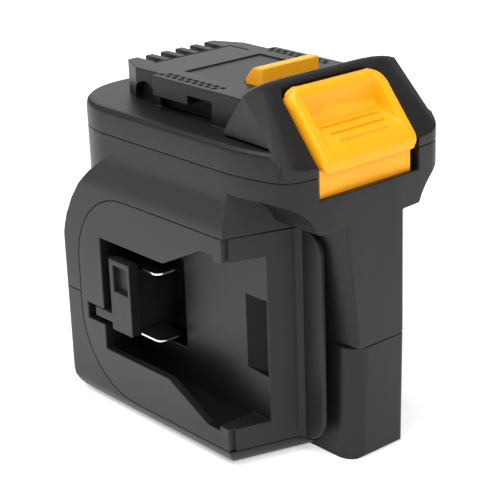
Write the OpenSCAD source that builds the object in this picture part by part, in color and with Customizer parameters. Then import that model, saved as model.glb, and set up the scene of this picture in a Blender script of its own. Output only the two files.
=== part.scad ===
// Tool battery adapter: a pack socket in each side below, a slide interface with a release button on top.
// Frame: +Z up, the front with the button faces -Y, the sockets face -X and +X, origin under the middle.

/* [Overall] */
// Width across the two socket faces
socket_span = 80; // [79:1:84]
// Width of the neck and of the cover
neck_w = 76; // [74:0.5:77.5]
// Length from the front face to the rear face
body_len = 116.4; // [114:0.2:122]
// Height of the seam between housing and cover
seam_z = 101; // [100:1:108]
// Height of the cover's edge band
band_h = 9; // [8:0.5:11]
// Height of the rail block above the deck
block_h = 11.2; // [11:0.1:13]
// Height of the parting plane between the housing halves
split_z = 40; // [36:1:46]
// Radius of the cover's upper edge
deck_r = 2.2; // [1:0.1:2.6]
// Thickness of the outer walls
wall = 2.6; // [2:0.1:3.2]
// Gap that shows as a seam between two mouldings
seam_gap = 0.15; // [0.1:0.05:0.3]
// Gap beside a piece that slides
slide_gap = 0.3; // [0.2:0.05:0.5]

/* [Plan outline] */
// Corner radius at the rear of the neck
rear_r = 26; // [20:1:28]
// Distance that the neck's rear face stands in from the rear face
neck_set = 1.4; // [0.6:0.1:2.4]
// Radius of the flanks where they draw in to the front
flank_r = 70; // [60:1:80]
// Distance from the front face to where the flanks start to draw in
flank_set = 28.5; // [26:0.5:32]
// Radius of the front corners
corner_r = 8; // [6:0.5:9]
// Radius of the bowed front face
bow_r = 220; // [180:5:260]

/* [Lower body] */
// Radius along the bottom edges of the socket faces
bottom_r = 6.5; // [4:0.5:8]
// Radius at the foot of the rear face
foot_r = 13; // [10:0.5:14]
// Radius of the rear face where it leans in to the neck
rear_curve_r = 54; // [50:1:60]
// Height where the rear face starts to lean in
rear_curve_z = 45; // [43:1:50]
// Draw of the rear face towards its foot
rear_draft = 0.8; // [0.4:0.1:1.6]
// Radius of the upright rear edges
rear_edge_r = 3.5; // [2:0.5:6]
// Lean of the blend from the socket faces to the neck
shoulder_a = 10.5; // [9:0.5:14]
// Radius at both ends of that blend
shoulder_r = 20; // [12:1:24]
// Half width of the front column
col_half = 15; // [14.5:0.5:16]
// Half width of the column's lower half on the side with the finger recess
col_recess_half = 9; // [8:0.5:10]
// Radius of the column's lower front edge on that side
col_edge_r = 7; // [5:0.5:8]
// Radius of the column's other front edge
col_plain_r = 2.2; // [1.6:0.2:4]
// Draw of the column's lower half towards its foot, in degrees
col_draft = 1.2; // [0.6:0.1:2]
// Lean of the recess in the column's upper half
col_lean = 6.6; // [5:0.2:8]
// Turn of that recess in plan
col_turn = 12; // [8:1:16]
// Radius along the column's bottom edges
col_bottom_r = 2; // [1:0.5:3]

/* [Front overhang] */
// Height of the front overhang below the seam
overhang_h = 18.5; // [16:0.5:20]
// Height of the neck's flank below the seam, above the side arches
skirt_h = 6.7; // [5:0.1:8]
// Height of the neck's rear overhang below the seam
rear_overhang_h = 16.5; // [14:0.5:18]
// Half width of the overhang where the side arches start
arch_in = 22; // [20.5:0.5:24]
// Half width where the side arches run out
arch_out = 35.5; // [33:0.5:37]
// Radius of the side arches
arch_r = 22; // [15:1:40]

/* [Socket] */
// Height of the socket's middle
socket_z = 42.8; // [42:0.1:45]
// Height of the insert's face plate
insert_h = 73.6; // [72:0.1:75]
// Distance from the rear face to the insert's rear end
insert_rear = 10.7; // [9.5:0.1:12.5]
// Rear corner radius of the insert's face plate
insert_r = 28; // [22:1:34]
// Thickness of the face plate and of its rail lips
lip_t = 3; // [2.4:0.1:3.6]
// Distance from the front face to the corner where the slanted mouth starts
mouth_set = 25.9; // [24:0.1:28]
// Run of the slanted mouth face towards the column
slant_run = 7.5; // [5:0.5:10]
// Distance from the front face to the end of the insert's flange
flange_set = 8.4; // [7.5:0.1:10]
// Corner radius of that flange
flange_r = 8; // [5:0.5:10]
// Thickness of that flange
flange_t = 2; // [1.6:0.1:2.6]
// Depth of the pack channel below the socket face
tray_depth = 14.3; // [13:0.1:15]
// Thickness of the channel's inner wall
tray_wall = 2.5; // [2:0.1:3]
// Distance from the insert's rear end to the side window
win_rear = 13.4; // [12:0.1:15]
// Height of the window between the rail lips
win_h = 41.3; // [39:0.1:44]
// Height of the window in the flared lead-in, and of the pack channel
lead_h = 60.7; // [59:0.1:62]
// Length from the mouth corner to the end of the flare
flare_end = 31.3; // [29:0.1:33]
// Length from the mouth corner to the start of the flare
flare_start = 11.2; // [9:0.1:13]
// Width of the step along the mouth's corner
rim_w = 2.1; // [1.5:0.1:2.6]
// Length of that step
rim_set = 0.6; // [0.3:0.1:1]
// Length of the stop teeth at the mouth
tooth_len = 5; // [4:0.1:6]
// Height of the mouth between the stop teeth
mouth_h = 57.4; // [55:0.1:58.5]
// Height of the latch pocket near the mouth
catch_h = 26; // [22:1:30]
// Length of the latch pocket
catch_len = 9.9; // [8:0.1:11]
// Depth of the latch pocket
catch_depth = 1.6; // [1:0.1:1.8]

/* [Terminals] */
// Length of the terminal pocket, from the window's rear edge
pocket_len = 27.8; // [26.5:0.1:30]
// Depth of the terminal pocket behind the channel's inner wall
pocket_depth = 9; // [7:0.5:10]
// Height of the terminal pocket
pocket_h = 32; // [31:0.5:34]
// Spacing of the two contact blades
blade_pitch = 24.5; // [22:0.1:25]
// Thickness of a blade
blade_t = 0.8; // [0.6:0.1:1]
// Width of a blade
blade_w = 11; // [9:0.5:12]
// Depth of the blades below the socket face
blade_in = 5; // [4.4:0.1:6]
// Length of the blades, from the window's rear edge
blade_len = 25.3; // [23:0.1:26]
// Corner radius of the blade tips
blade_r = 3; // [2:0.5:4]
// Length of the terminal block's face
block_face_len = 11.4; // [10:0.1:12]
// Height of the terminal block's face
block_face_h = 26.3; // [25:0.1:28]
// Distance from the window's rear edge to the terminal block's face
block_face_set = 4.6; // [4:0.1:6]
// Thickness of the bridge that locates the terminal block
bridge_h = 3.6; // [3:0.1:4.2]

/* [Top rails] */
// Width over the two rails
rail_w = 54.1; // [53:0.1:56]
// Length of the rails
rail_len = 45; // [42:0.5:48]
// Distance from the front face to the front of the rails
rail_set = 29.5; // [29:0.5:31]
// Thickness of the rails
rail_t = 6.9; // [6.5:0.1:7.5]
// Width of the block under the rails
web_w = 43; // [41:0.5:45]
// Length from the front of the rails to the block's rear end
rail_block_len = 69; // [66:0.5:71]
// Width of the block behind the rails
tail_w = 48; // [46:0.5:50]
// Length of the block behind the rails before it narrows
tail_len = 12.8; // [11:0.1:15]
// Width of the block's rear end
tail_end_w = 37.6; // [36:0.2:40]
// Radius of the arch at the rear of each rail channel
lead_arch_r = 6.2; // [5:0.1:6.3]
// Length of the stop at the front of each rail channel
rail_stop = 15; // [12:0.5:18]
// Length of the lock notch in each rail
notch_len = 12; // [8:0.5:14]
// Height of the lock notch
notch_h = 3; // [2:0.5:4]
// Pitch of the terminal slots
slot_pitch = 6.5; // [6:0.1:7]
// Width of a terminal slot
slot_w = 3.2; // [3:0.1:3.4]
// Length of the terminal slots
slot_len = 10; // [8:0.5:12]
// Depth of the terminal slots
slot_depth = 9; // [8:0.5:9.5]
// Grip pits along one rail
pit_count = 9; // [6:1:11]

/* [Hump] */
// Height of the hump's crest above the rail block
crest_h = 5.8; // [4.5:0.1:7]
// Distance from the front face to the crest
crest_set = 22.4; // [21.8:0.1:23]
// Radius between the crest and the front slope
crest_r = 4; // [3:0.5:5]
// Lean of the front slope, in degrees
slope_a = 50.3; // [49.5:0.1:51.5]
// Half width of the foot of the slope
slope_half = 33; // [31:0.5:34]
// Half width over the side tips of the crest
apex_half = 32.5; // [31.5:0.1:33]
// Drop of those tips below the middle of the crest
apex_drop = 2.4; // [1.6:0.1:3]
// Half width of the hump at the front of its side facets
hump_half = 33.7; // [33.2:0.1:35]
// Distance from the front face to the front of those facets
hump_front = 8.2; // [7:0.1:9.5]
// Half width of the hump at the rear of its side facets
hump_rear_half = 32.4; // [31:0.1:34]
// Distance from the front face to the rear of those facets
hump_rear = 33.9; // [32:0.1:36]
// Width of the opening for the button
opening_w = 43.4; // [42.6:0.2:45]
// Height of the opening's lower edge below the seam
opening_drop = 7.1; // [6:0.1:8]
// Height of the shadow gap under the hump's sides
shadow_gap = 0.8; // [0.6:0.1:1.4]

/* [Release button] */
// Width of the button
button_w = 40.4; // [39:0.2:42]
// Height that the button stands proud of the slope
button_proud = 2.2; // [1.5:0.1:2.5]
// Radius of the button's upper corners
button_r = 5; // [3:0.5:7]
// Radius of the lower corners of its lip
lip_r = 3; // [2:0.5:4]
// Radius along the button's upper edge and its lip
button_edge_r = 1.6; // [1:0.2:2]
// Half width of the finger notch
finger_half = 16; // [14:0.5:17]
// Fall of the notch's floor, in degrees
finger_fall = 21.6; // [19:0.2:24]
// Spacing of the ridges on that floor
ridge_pitch = 3.4; // [3:0.1:3.6]
// Travel of the button
travel = 5.5; // [4:0.1:5.6]
// Width of the latch tab
latch_w = 24.7; // [23:0.1:27]
// Height of the latch tab above the rail block
latch_h = 5.6; // [5.5:0.1:6.5]
// Thickness of the latch tab from front to back
latch_t = 8.2; // [7.4:0.1:9]
// Distance from the front face to the front of the latch tab
latch_set = 36.5; // [36:0.1:37.5]
// Outer diameter of the springs
spring_d = 7; // [6:0.5:8]
// Wire diameter of the springs
spring_wire = 0.8; // [0.6:0.1:1]
// Turns of the springs
spring_turns = 7; // [5:1:9]
// Distance between the two springs
spring_pitch = 20; // [16:1:22]

/* [Electronics] */
// Height of the circuit board's underside
board_z = 14; // [12:0.5:15]
// Thickness of the circuit board
board_t = 1.6; // [1:0.2:2]
// Gap between the circuit board and each side wall
board_gap = 3.6; // [2.6:0.1:5.6]
// Distance from the front inner wall to the circuit board
board_set = 13; // [11:0.5:14]
// Distance from the rear inner wall to the circuit board
board_rear = 14.9; // [14:0.1:18]
// Width of a power transistor
fet_w = 8; // [7:0.5:8.5]
// Length of a power transistor
fet_len = 8; // [6:0.5:9]
// Height of a power transistor
fet_h = 4.4; // [3:0.2:5]
// Spacing of the power transistors
fet_pitch = 9.4; // [9:0.1:9.6]
// Thickness of the heat spreader and of its fins
fin_t = 1.5; // [1:0.1:2]
// Height of the fins
fin_h = 5.5; // [3:0.5:8]
// Number of the fins
fin_count = 5; // [3:1:6]
// Diameter of the capacitor
cap_d = 12; // [8:1:13]
// Height of the capacitor
cap_h = 16; // [10:1:20]
// Diameter of the wires
wire_d = 2.4; // [1.6:0.2:2.8]
// Diameter of the screws
screw_d = 3; // [2.5:0.1:3.5]

/* [Hidden] */
$fn = 48;
eps = 0.01;
front_y = -body_len / 2;
rear_y = body_len / 2;
half = socket_span / 2;
deck_z = seam_z + band_h;
block_z = deck_z + block_h;
crest_z = block_z + crest_h;

// Body levels
overhang_z = seam_z - overhang_h;
arch_z = seam_z - skirt_h;
insert_z0 = socket_z - insert_h / 2;
insert_z1 = socket_z + insert_h / 2;
floor_t = 3;
shoulder_z = insert_z1 + 0.6;
shoulder_in = half - neck_w / 2;
shoulder_run = (shoulder_in - 2 * shoulder_r * (1 - cos(shoulder_a))) / sin(shoulder_a);
shoulder_h = 2 * shoulder_r * sin(shoulder_a) + shoulder_run * cos(shoulder_a);

// Socket places along Y and X
mouth_y = front_y + mouth_set;
slant_y = mouth_y - slant_run;
insert_y1 = rear_y - insert_rear;
win_y1 = insert_y1 - win_rear;
flange_y = front_y + flange_set;
tray_x = half - tray_depth;
tray_back_x = tray_x - tray_wall;
tray_rear_y = win_y1 + tray_wall;
plate_back = lip_t + 1;
pocket_y = win_y1 - pocket_len;
pocket_x = tray_x - pocket_depth;
pocket_back_x = pocket_x - tray_wall;
slant_k = slant_run / (half - col_half);
tooth_y = mouth_y + tooth_len;
catch_y = mouth_y - 3.3;

// Terminal block and blades
face_y1 = win_y1 - block_face_set;
face_y0 = face_y1 - block_face_len;
face_z = socket_z + 1.3;
blade_x0 = half - blade_in - blade_w;
blade_x1 = half - blade_in;
blade_y0 = win_y1 - blade_len;
blade_y1 = tray_rear_y + 5;
blade_tail_x = blade_x1 - 2.2;
bridge_z = socket_z - 9.4;
bridge_y1 = win_y1 + 5;
hook_y1 = win_y1 + 9.6;

// Interior of the housing
core_half = tray_back_x - wall;
core_y0 = mouth_y - 1.4;
core_y1 = rear_y - neck_set - wall;
neck_floor = seam_z - 5;
bay_floor = overhang_z + floor_t;
bay_half = opening_w / 2;
bay_y0 = front_y + wall;
shaft_x = [-col_recess_half + 2 * wall, col_half - flange_t - 2 * wall];
shaft_y0 = front_y + 2 * wall;
rear_neck_z = seam_z - rear_overhang_h;

// Rail block places
rail_y0 = front_y + rail_set;
rail_y1 = rail_y0 + rail_len;
block_y1 = rail_y0 + rail_block_len;
tail_y = rail_y1 + tail_len;
rail_z = block_z - rail_t;
slot_z = block_z - slot_depth;
slot_y = block_y1 - slot_len;
cavity_z = deck_z - wall;

// Hump and button places
crest_y = front_y + crest_set;
foot_set = 1.5;
slope_n = [-sin(slope_a), cos(slope_a)];
crest_c = [crest_y, crest_z - crest_r];
slope_top = crest_c + crest_r * slope_n;
foot_y = front_y + foot_set;
hump_y = front_y + hump_front;
slope_foot_z = slope_top[1] - (slope_top[0] - foot_y) * tan(slope_a);
opening_y = crest_y - 2.6;
button_top = crest_z - 1.6;
button_bow = 0.6;
button_back = opening_y - 1.1;
panel_y = bay_y0 + slide_gap;
panel_t = 2.2;
panel_z = bay_floor + travel + 0.5;
lip_z = seam_z + 0.3;
arm_z0 = seam_z + 11.5;
arm_z1 = arm_z0 + 4;
arm_half = latch_w / 2;
latch_y0 = front_y + latch_set;
latch_y1 = latch_y0 + latch_t;
notch_y = button_back - 3.8;
notch_z = arm_z0 + 1.6;
ridge_half = finger_half - 3.7;
spring_y = front_y + 11.5;
spring_z0 = bay_floor;
spring_z1 = seam_z + 3;

// Screw posts
post_r = 4;
head_r = screw_d;
head_h = screw_d * 0.8;
post_x = core_half - post_r + 0.5;
post_y = [core_y0 + post_r + 2, core_y1 - post_r + 0.5];
head_z = split_z - 12;
housing_screw_len = 7 * screw_d;
cover_screw_len = 4 * screw_d;
lug_z = neck_floor - 4;
lug_t = 3.5;

// Board places
board_w = 2 * (core_half - board_gap);
board_y0 = core_y0 + board_set;
board_y1 = core_y1 - board_rear;
board_top = board_z + board_t;
board_post = [board_w / 2 - 4, 4];
fet_y = board_y0 + 1.5 * fet_len;
spreader_half = fet_pitch + fet_w / 2 + 0.5;
pad_y = fet_y + fet_len + 1.7 * wire_d;
cap_y = pad_y + cap_d / 2 + 1;
board_screw_d = screw_d * 2 / 3;
board_screw_len = 2.5 * board_screw_d;

// Output contacts under the slots
carrier_half = 2 * slot_pitch + slot_w / 2 + 2.2;
carrier_y0 = slot_y - 2;
carrier_y1 = block_y1 - wall;
carrier_z0 = seam_z + 3;
clip_t = 0.6;
clip_gap = 0.15;

// Names of all pieces

// Colours
plastic = [0.17, 0.17, 0.18];
dark_plastic = [0.12, 0.12, 0.13];
amber = [1.0, 0.66, 0.12];
bright_metal = [0.80, 0.80, 0.78];
copper = [0.78, 0.52, 0.30];
board_green = [0.10, 0.36, 0.20];
steel = [0.55, 0.56, 0.58];

// Points along an arc about c from angle a0 to a1, without its first point
function arc(c, r, a0, a1, n) =
    [for (i = [1:n]) let (a = a0 + (a1 - a0) * i / n) c + r * [cos(a), sin(a)]];

// Mirror image of an open half outline, walked backwards
function back_mirror(p) = [for (i = [len(p) - 1:-1:0]) [-p[i][0], p[i][1]]];

// Centre of a circle at distance r1 from c1 and r3 from c3, on the side away from the middle
function tangent_centre(c1, r1, c3, r3) =
    let (d = c3 - c1, l = norm(d), a = (r1 * r1 - r3 * r3 + l * l) / (2 * l), h = sqrt(r1 * r1 - a * a))
    c1 + a * d / l + h * [-d[1], d[0]] / l;

// Arc of radius r in the corner p between a and b
function corner_arc(a, p, b, r, n) =
    let (
        u = unit(a - p), v = unit(b - p), w = acos(u * v) / 2,
        c = p + r / sin(w) * unit(u + v),
        a0 = heading(p + r / tan(w) * u - c), a1 = heading(p + r / tan(w) * v - c),
        turn = (a1 - a0 + 540) % 360 - 180
    )
    [for (i = [0:n]) let (t = a0 + turn * i / n) c + r * [cos(t), sin(t)]];

// Direction of a vector in degrees from 0 to 360
function heading(v) = (atan2(v[1], v[0]) + 360) % 360;

// Left half of the neck's outline, drawn in by t
function plan_half(t) =
    let (
        c_rear = [-neck_w / 2 + rear_r, rear_y - neck_set - rear_r],
        c_flank = [-neck_w / 2 + flank_r, front_y + flank_set],
        c_bow = [0, front_y + bow_r],
        c_corner = tangent_centre(c_flank, flank_r - corner_r, c_bow, bow_r - corner_r),
        a_flank = heading(c_corner - c_flank),
        a_bow = heading(c_corner - c_bow)
    )
    concat(
        [[c_rear[0], rear_y - neck_set - t]],
        arc(c_rear, rear_r - t, 90, 180, 8),
        [[-neck_w / 2 + t, front_y + flank_set]],
        arc(c_flank, flank_r - t, 180, a_flank, 5),
        arc(c_corner, corner_r - t, a_flank, a_bow, 6),
        arc(c_bow, bow_r - t, a_bow, 268, 4)
    );

function plan_outline(t) = concat(plan_half(t), back_mirror(plan_half(t)));

// Tube along a route: rings of n points, closed at both ends
function unit(v) = v / norm(v);
function ring(p, t, r, n) =
    let (u = unit(cross(t, [0.31, 0.23, 0.92])), v = cross(t, u))
    [for (k = [0:n - 1]) p + r * (cos(360 * k / n) * u + sin(360 * k / n) * v)];
function route_dir(p, i) = unit(p[min(i + 1, len(p) - 1)] - p[max(i - 1, 0)]);
function tube_points(p, r, n) = [for (i = [0:len(p) - 1]) each ring(p[i], route_dir(p, i), r, n)];
function tube_faces(m, n) = concat(
    [for (k = [1:n - 2]) [0, k, k + 1]],
    [for (i = [0:m - 2]) for (k = [0:n - 1]) let (a = i * n + k, b = i * n + (k + 1) % n)
        each [[a, a + n, b], [b, a + n, b + n]]],
    [for (k = [1:n - 2]) let (e = (m - 1) * n) [e, e + k + 1, e + k]]
);
module tube(route, d, sides) {
    polyhedron(tube_points(route, d / 2, sides), tube_faces(len(route), sides), convexity = 8);
}

// Extrusions of a profile: Y and Z along X, X and Z along Y, X and Y along Z
module prism_x(x0, x1) {
    translate([x0, 0, 0]) rotate([90, 0, 90]) linear_extrude(height = x1 - x0) children();
}
module prism_y(y0, y1) {
    translate([0, y1, 0]) rotate([90, 0, 0]) linear_extrude(height = y1 - y0) children();
}
module prism_z(z0, z1) {
    translate([0, 0, z0]) linear_extrude(height = z1 - z0) children();
}
module box(lo, hi) {
    translate(lo) cube(hi - lo);
}
module post(x, y, z0, z1, r) {
    translate([x, y, z0]) cylinder(h = z1 - z0, r = r);
}
module both_sides() {
    children();
    mirror([1, 0, 0]) children();
}
module at_posts() {
    for (x = [-post_x, post_x])
        for (y = post_y)
            translate([x, y, 0]) children();
}

// Lower body: cross-section, side profile and plan, each a prism
module bulge_section() {
    lean = shoulder_run * [sin(shoulder_a), cos(shoulder_a)];
    low = [-half + shoulder_r, shoulder_z];
    high = [-neck_w / 2 - shoulder_r, shoulder_z + shoulder_h];
    side = concat(
        [[-half + bottom_r, 0]],
        arc([-half + bottom_r, bottom_r], bottom_r, 270, 180, 6),
        [[-half, shoulder_z]],
        arc(low, shoulder_r, 180, 180 - shoulder_a, 3),
        [low + shoulder_r * [-cos(shoulder_a), sin(shoulder_a)] + lean],
        arc(high, shoulder_r, -shoulder_a, 0, 3)
    );
    polygon(concat(side, back_mirror(side)));
}
module bulge_profile() {
    top = shoulder_z + shoulder_h;
    lean = asin(min(1, (top - rear_curve_z) / rear_curve_r));
    polygon(concat(
        [[front_y, top], [front_y, 0], [rear_y - rear_draft - foot_r, 0]],
        arc([rear_y - rear_draft - foot_r, foot_r], foot_r, -90, 0, 8),
        [[rear_y, rear_curve_z]],
        arc([rear_y - rear_curve_r, rear_curve_z], rear_curve_r, 0, lean, 8)
    ));
}
module bulge_plan() {
    side = concat(
        [[-half + rear_edge_r, rear_y]],
        arc([-half + rear_edge_r, rear_y - rear_edge_r], rear_edge_r, 90, 180, 4),
        [[-half, mouth_y], [-col_half, slant_y]]
    );
    polygon(concat(side, back_mirror(side)));
}
module slant_fillet() {
    turn = atan(slant_k);
    r = bottom_r;
    translate([-half, mouth_y, 0]) rotate([0, 0, -turn]) prism_x(-10, 2 * half) polygon(concat(
        [[r, -1], [-1, -1], [-1, r], [0, r]],
        arc([r, r], r, 180, 270, 6)
    ));
}
module bulge_form() {
    difference() {
        intersection() {
            prism_y(front_y - 1, rear_y + 1) bulge_section();
            prism_x(-half - 1, half + 1) bulge_profile();
            prism_z(-1, seam_z) bulge_plan();
        }
        both_sides() slant_fillet();
    }
}

// Neck with the front overhang, cut by an arch on each side of the column
module arch_void() {
    chord = [arch_out - arch_in, arch_z - overhang_z];
    mid = [-arch_in - chord[0] / 2, overhang_z + chord[1] / 2];
    away = unit([-chord[1], -chord[0]]);
    c = mid + away * sqrt(arch_r * arch_r - norm(chord) * norm(chord) / 4);
    a0 = heading([-arch_out, arch_z] - c);
    a1 = heading([-arch_in, overhang_z] - c);
    polygon(concat(
        [[-half - 1, overhang_z - 1], [-half - 1, arch_z], [-arch_out, arch_z]],
        arc(c, arch_r, a0, a1 > a0 + 180 ? a1 - 360 : a1, 6),
        [[-arch_in, overhang_z - 1]]
    ));
}
module neck_form() {
    difference() {
        prism_z(overhang_z, seam_z) polygon(plan_outline(0));
        both_sides() prism_y(front_y - 1, mouth_y) arch_void();
        box([-half, 0, overhang_z - 1], [half, rear_y + 1, rear_neck_z]);
    }
}

// Front column: its left side leans in down to the split, so that fingers reach the pack's catch
function bow(x) = bow_r - sqrt(bow_r * bow_r - x * x);
module column_upper_plan() {
    r = col_plain_r;
    c = [col_half - r, front_y + bow(col_half - r) + r - 0.03];
    polygon(concat(
        [[-col_half, mouth_y], [-col_half, front_y - 1], [c[0], front_y - 1]],
        arc(c, r, 262, 360, 6),
        [[col_half, mouth_y]]
    ));
}
module column_lower_plan() {
    r = col_plain_r;
    x = -col_recess_half + col_edge_r;
    polygon(concat(
        [[-col_recess_half, mouth_y], [-col_recess_half, front_y + bow(x) + col_edge_r]],
        arc([x, front_y + bow(x) + col_edge_r], col_edge_r, 180, 270, 8),
        [[(x + col_half - r) / 2, front_y + bow((x + col_half - r) / 2)]],
        arc([col_half - r, front_y + bow(col_half - r) + r], r, 255, 360, 7),
        [[col_half, mouth_y]]
    ));
}
module column_recess() {
    reach = seam_z;
    translate([-col_recess_half, slant_y - 5, split_z])
        rotate([0, -col_lean, col_turn])
            translate([-reach, -reach, -reach]) cube([reach, 2 * reach, 2 * reach]);
}
module column_foot() {
    r = col_bottom_r;
    y = front_y + (split_z - r) * tan(col_draft);
    polygon(concat(
        [[mouth_y, split_z + 1], [front_y - 1, split_z + 1], [y, r]],
        arc([y + r, r], r, 180, 270, 4),
        [[mouth_y, 0]]
    ));
}
module column_upper() {
    intersection() {
        difference() {
            prism_z(split_z - 1, seam_z - 1) column_upper_plan();
            column_recess();
        }
        prism_z(split_z - 1, seam_z) polygon(plan_outline(0));
    }
}
module column_lower() {
    intersection() {
        translate([0, front_y, split_z]) rotate([col_draft, 0, 0]) translate([0, -front_y, -split_z])
            prism_z(-split_z / 4, split_z * 1.2) column_lower_plan();
        prism_x(-half, half) column_foot();
    }
}

// Envelope of the left insert: its plan, and its rounded side outline
module insert_side(gap) {
    r = insert_r + gap;
    z0 = insert_z0 - gap;
    z1 = insert_z1 + gap;
    y1 = insert_y1 + gap;
    y0 = flange_y - gap;
    f = flange_r + gap;
    polygon(concat(
        [[y0 + f, z0], [y1 - r, z0]],
        arc([y1 - r, z0 + r], r, -90, 0, 10),
        [[y1, z1 - r]],
        arc([y1 - r, z1 - r], r, 0, 90, 10),
        [[y0 + f, z1]],
        arc([y0 + f, z1 - f], f, 90, 180, 5),
        [[y0, z0 + f]],
        arc([y0 + f, z0 + f], f, 180, 269, 5)
    ));
}
module insert_inner_plan(gap) {
    polygon([
        [-half - 10, flange_y - gap], [-col_half + flange_t + gap, flange_y - gap],
        [-col_half + flange_t + gap, slant_y + flange_t + 0.6], [-tray_back_x + gap, mouth_y - 1.4 + gap],
        [-tray_back_x + gap, tray_rear_y + gap], [-half + plate_back + gap, tray_rear_y + gap],
        [-half + plate_back + gap, insert_y1 + gap], [-half - 10, insert_y1 + gap]
    ]);
}
module pocket_shell(gap) {
    z = pocket_h / 2 + tray_wall + gap;
    box([-tray_back_x - 1, pocket_y - tray_wall - gap, socket_z - z],
        [-pocket_back_x + gap, tray_rear_y + gap, socket_z + z]);
}
module insert_envelope(gap) {
    intersection() {
        prism_z(insert_z0 - gap, insert_z1 + gap) insert_inner_plan(gap);
        prism_x(-half - 10, col_half) insert_side(gap);
    }
    pocket_shell(gap);
}

// Space behind each socket's rear wall where the blade tails and their wires run
module wire_bay() {
    box([-half + 6, tray_rear_y + seam_gap - eps, socket_z - 21],
        [-core_half + 1, core_y1 - 3, socket_z + 21]);
}

// Inner space: its rear follows the leaning rear face, then steps out into the neck
module core_profile() {
    r = rear_curve_r - (rear_y - core_y1);
    z = rear_neck_z + wall;
    f = foot_r - floor_t;
    polygon(concat(
        [[core_y0, seam_z + 1], [core_y0, floor_t], [core_y1 - f, floor_t]],
        arc([core_y1 - f, floor_t + f], f, -90, 0, 6),
        [[core_y1, rear_curve_z]],
        arc([core_y1 - r, rear_curve_z], r, 0, asin((z - rear_curve_z) / r), 8),
        [[core_y1, z], [core_y1, seam_z + 1]]
    ));
}
module housing_cavity() {
    prism_x(-core_half, core_half) core_profile();
    box([shaft_x[0], shaft_y0, floor_t], [shaft_x[1], core_y0 + 1, bay_floor - floor_t]);
    box([-bay_half, bay_y0, bay_floor], [bay_half, core_y0 + 1, seam_z + 1]);
    intersection() {
        prism_z(neck_floor, seam_z + 1) polygon(plan_outline(wall));
        box([-half, bay_y0 + 9, 0], [half, rear_y, seam_z + 1]);
    }
    both_sides() wire_bay();
}
module housing_shell() {
    difference() {
        union() {
            bulge_form();
            children();
        }
        housing_cavity();
        both_sides() insert_envelope(seam_gap);
        box([-opening_w / 2, front_y - 1, seam_z - opening_drop], [opening_w / 2, bay_y0 + 1, seam_z + 1]);
    }
}

module housing_upper() {
    color(plastic) difference() {
        union() {
            intersection() {
                housing_shell() {
                    neck_form();
                    column_upper();
                }
                box([-half - 1, front_y - 1, split_z], [half + 1, rear_y + 1, seam_z]);
            }
            at_posts() post(0, 0, split_z, head_z + housing_screw_len + 4, post_r);
            both_sides() {
                box([-core_half - 0.5, core_y0 - 0.5, lug_z],
                    [-post_x + post_r, post_y[0] + post_r, lug_z + lug_t]);
                box([-core_half - 0.5, post_y[1] - post_r, lug_z],
                    [-post_x + post_r, core_y1 + 0.5, lug_z + lug_t]);
            }
            for (x = [-spring_pitch / 2, spring_pitch / 2])
                post(x, spring_y, bay_floor - 1, bay_floor + 4, spring_d / 2 - spring_wire - 0.4);
        }
        at_posts() post(0, 0, split_z - 1, head_z + housing_screw_len + 2, screw_d / 2 + 0.05);
        at_posts() post(0, 0, lug_z - 1, lug_z + lug_t + 1, screw_d / 2 + 0.1);
    }
}

module housing_lower() {
    color(plastic) difference() {
        union() {
            intersection() {
                housing_shell() column_lower();
                box([-half - 1, front_y - 1, -1], [half + 1, rear_y + 1, split_z]);
            }
            intersection() {
                at_posts() post(0, 0, floor_t - 1, split_z, post_r);
                prism_x(-half, half) bulge_profile();
            }
            at_board_posts() post(0, 0, floor_t - 1, board_z, board_screw_d / 2 + 1.5);
        }
        at_posts() post(0, 0, -1, split_z + 1, screw_d / 2 + 0.1);
        at_posts() post(0, 0, -1, head_z, head_r + 0.2);
        at_board_posts() post(0, 0, board_z - board_screw_len - 1, board_z + 1, board_screw_d / 2 + 0.05);
    }
}
module at_board_posts() {
    for (x = [-board_post[0], board_post[0]])
        for (y = [board_y0 + board_post[1], board_y1 - board_post[1]])
            translate([x, y, 0]) children();
}

// Side window with its flared lead-in, stop teeth and the hooked slot behind the bridge
module window_profile() {
    h = win_h / 2;
    l = lead_h / 2;
    m = mouth_h / 2;
    top = [
        [win_y1, h], [mouth_y + flare_end, h], [mouth_y + flare_start, l],
        [mouth_y + tooth_len, l], [mouth_y + tooth_len, m], [mouth_y - slant_run - 1, m]
    ];
    lower = [for (i = [len(top) - 1:-1:0]) [top[i][0], -top[i][1]]];
    translate([0, socket_z]) polygon(concat(top, lower));
    translate([win_y1 - 1, bridge_z - 2.2]) square([hook_y1 - win_y1 + 1, bridge_h + 2.2]);
}
module insert_body() {
    intersection() {
        difference() {
            prism_z(insert_z0, insert_z1) insert_inner_plan(0);
            prism_z(insert_z0 - 1, insert_z1 + 1) polygon([
                [-half, insert_y1 + 1], [-half, mouth_y], [-col_half - 1, slant_y + slant_k],
                [-col_half, slant_y - 1.7], [-col_half, flange_y - 1], [-half - 11, flange_y - 1],
                [-half - 11, insert_y1 + 1]
            ]);
        }
        prism_x(-half - 1, col_half) insert_side(0);
    }
    pocket_shell(0);
}
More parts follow.
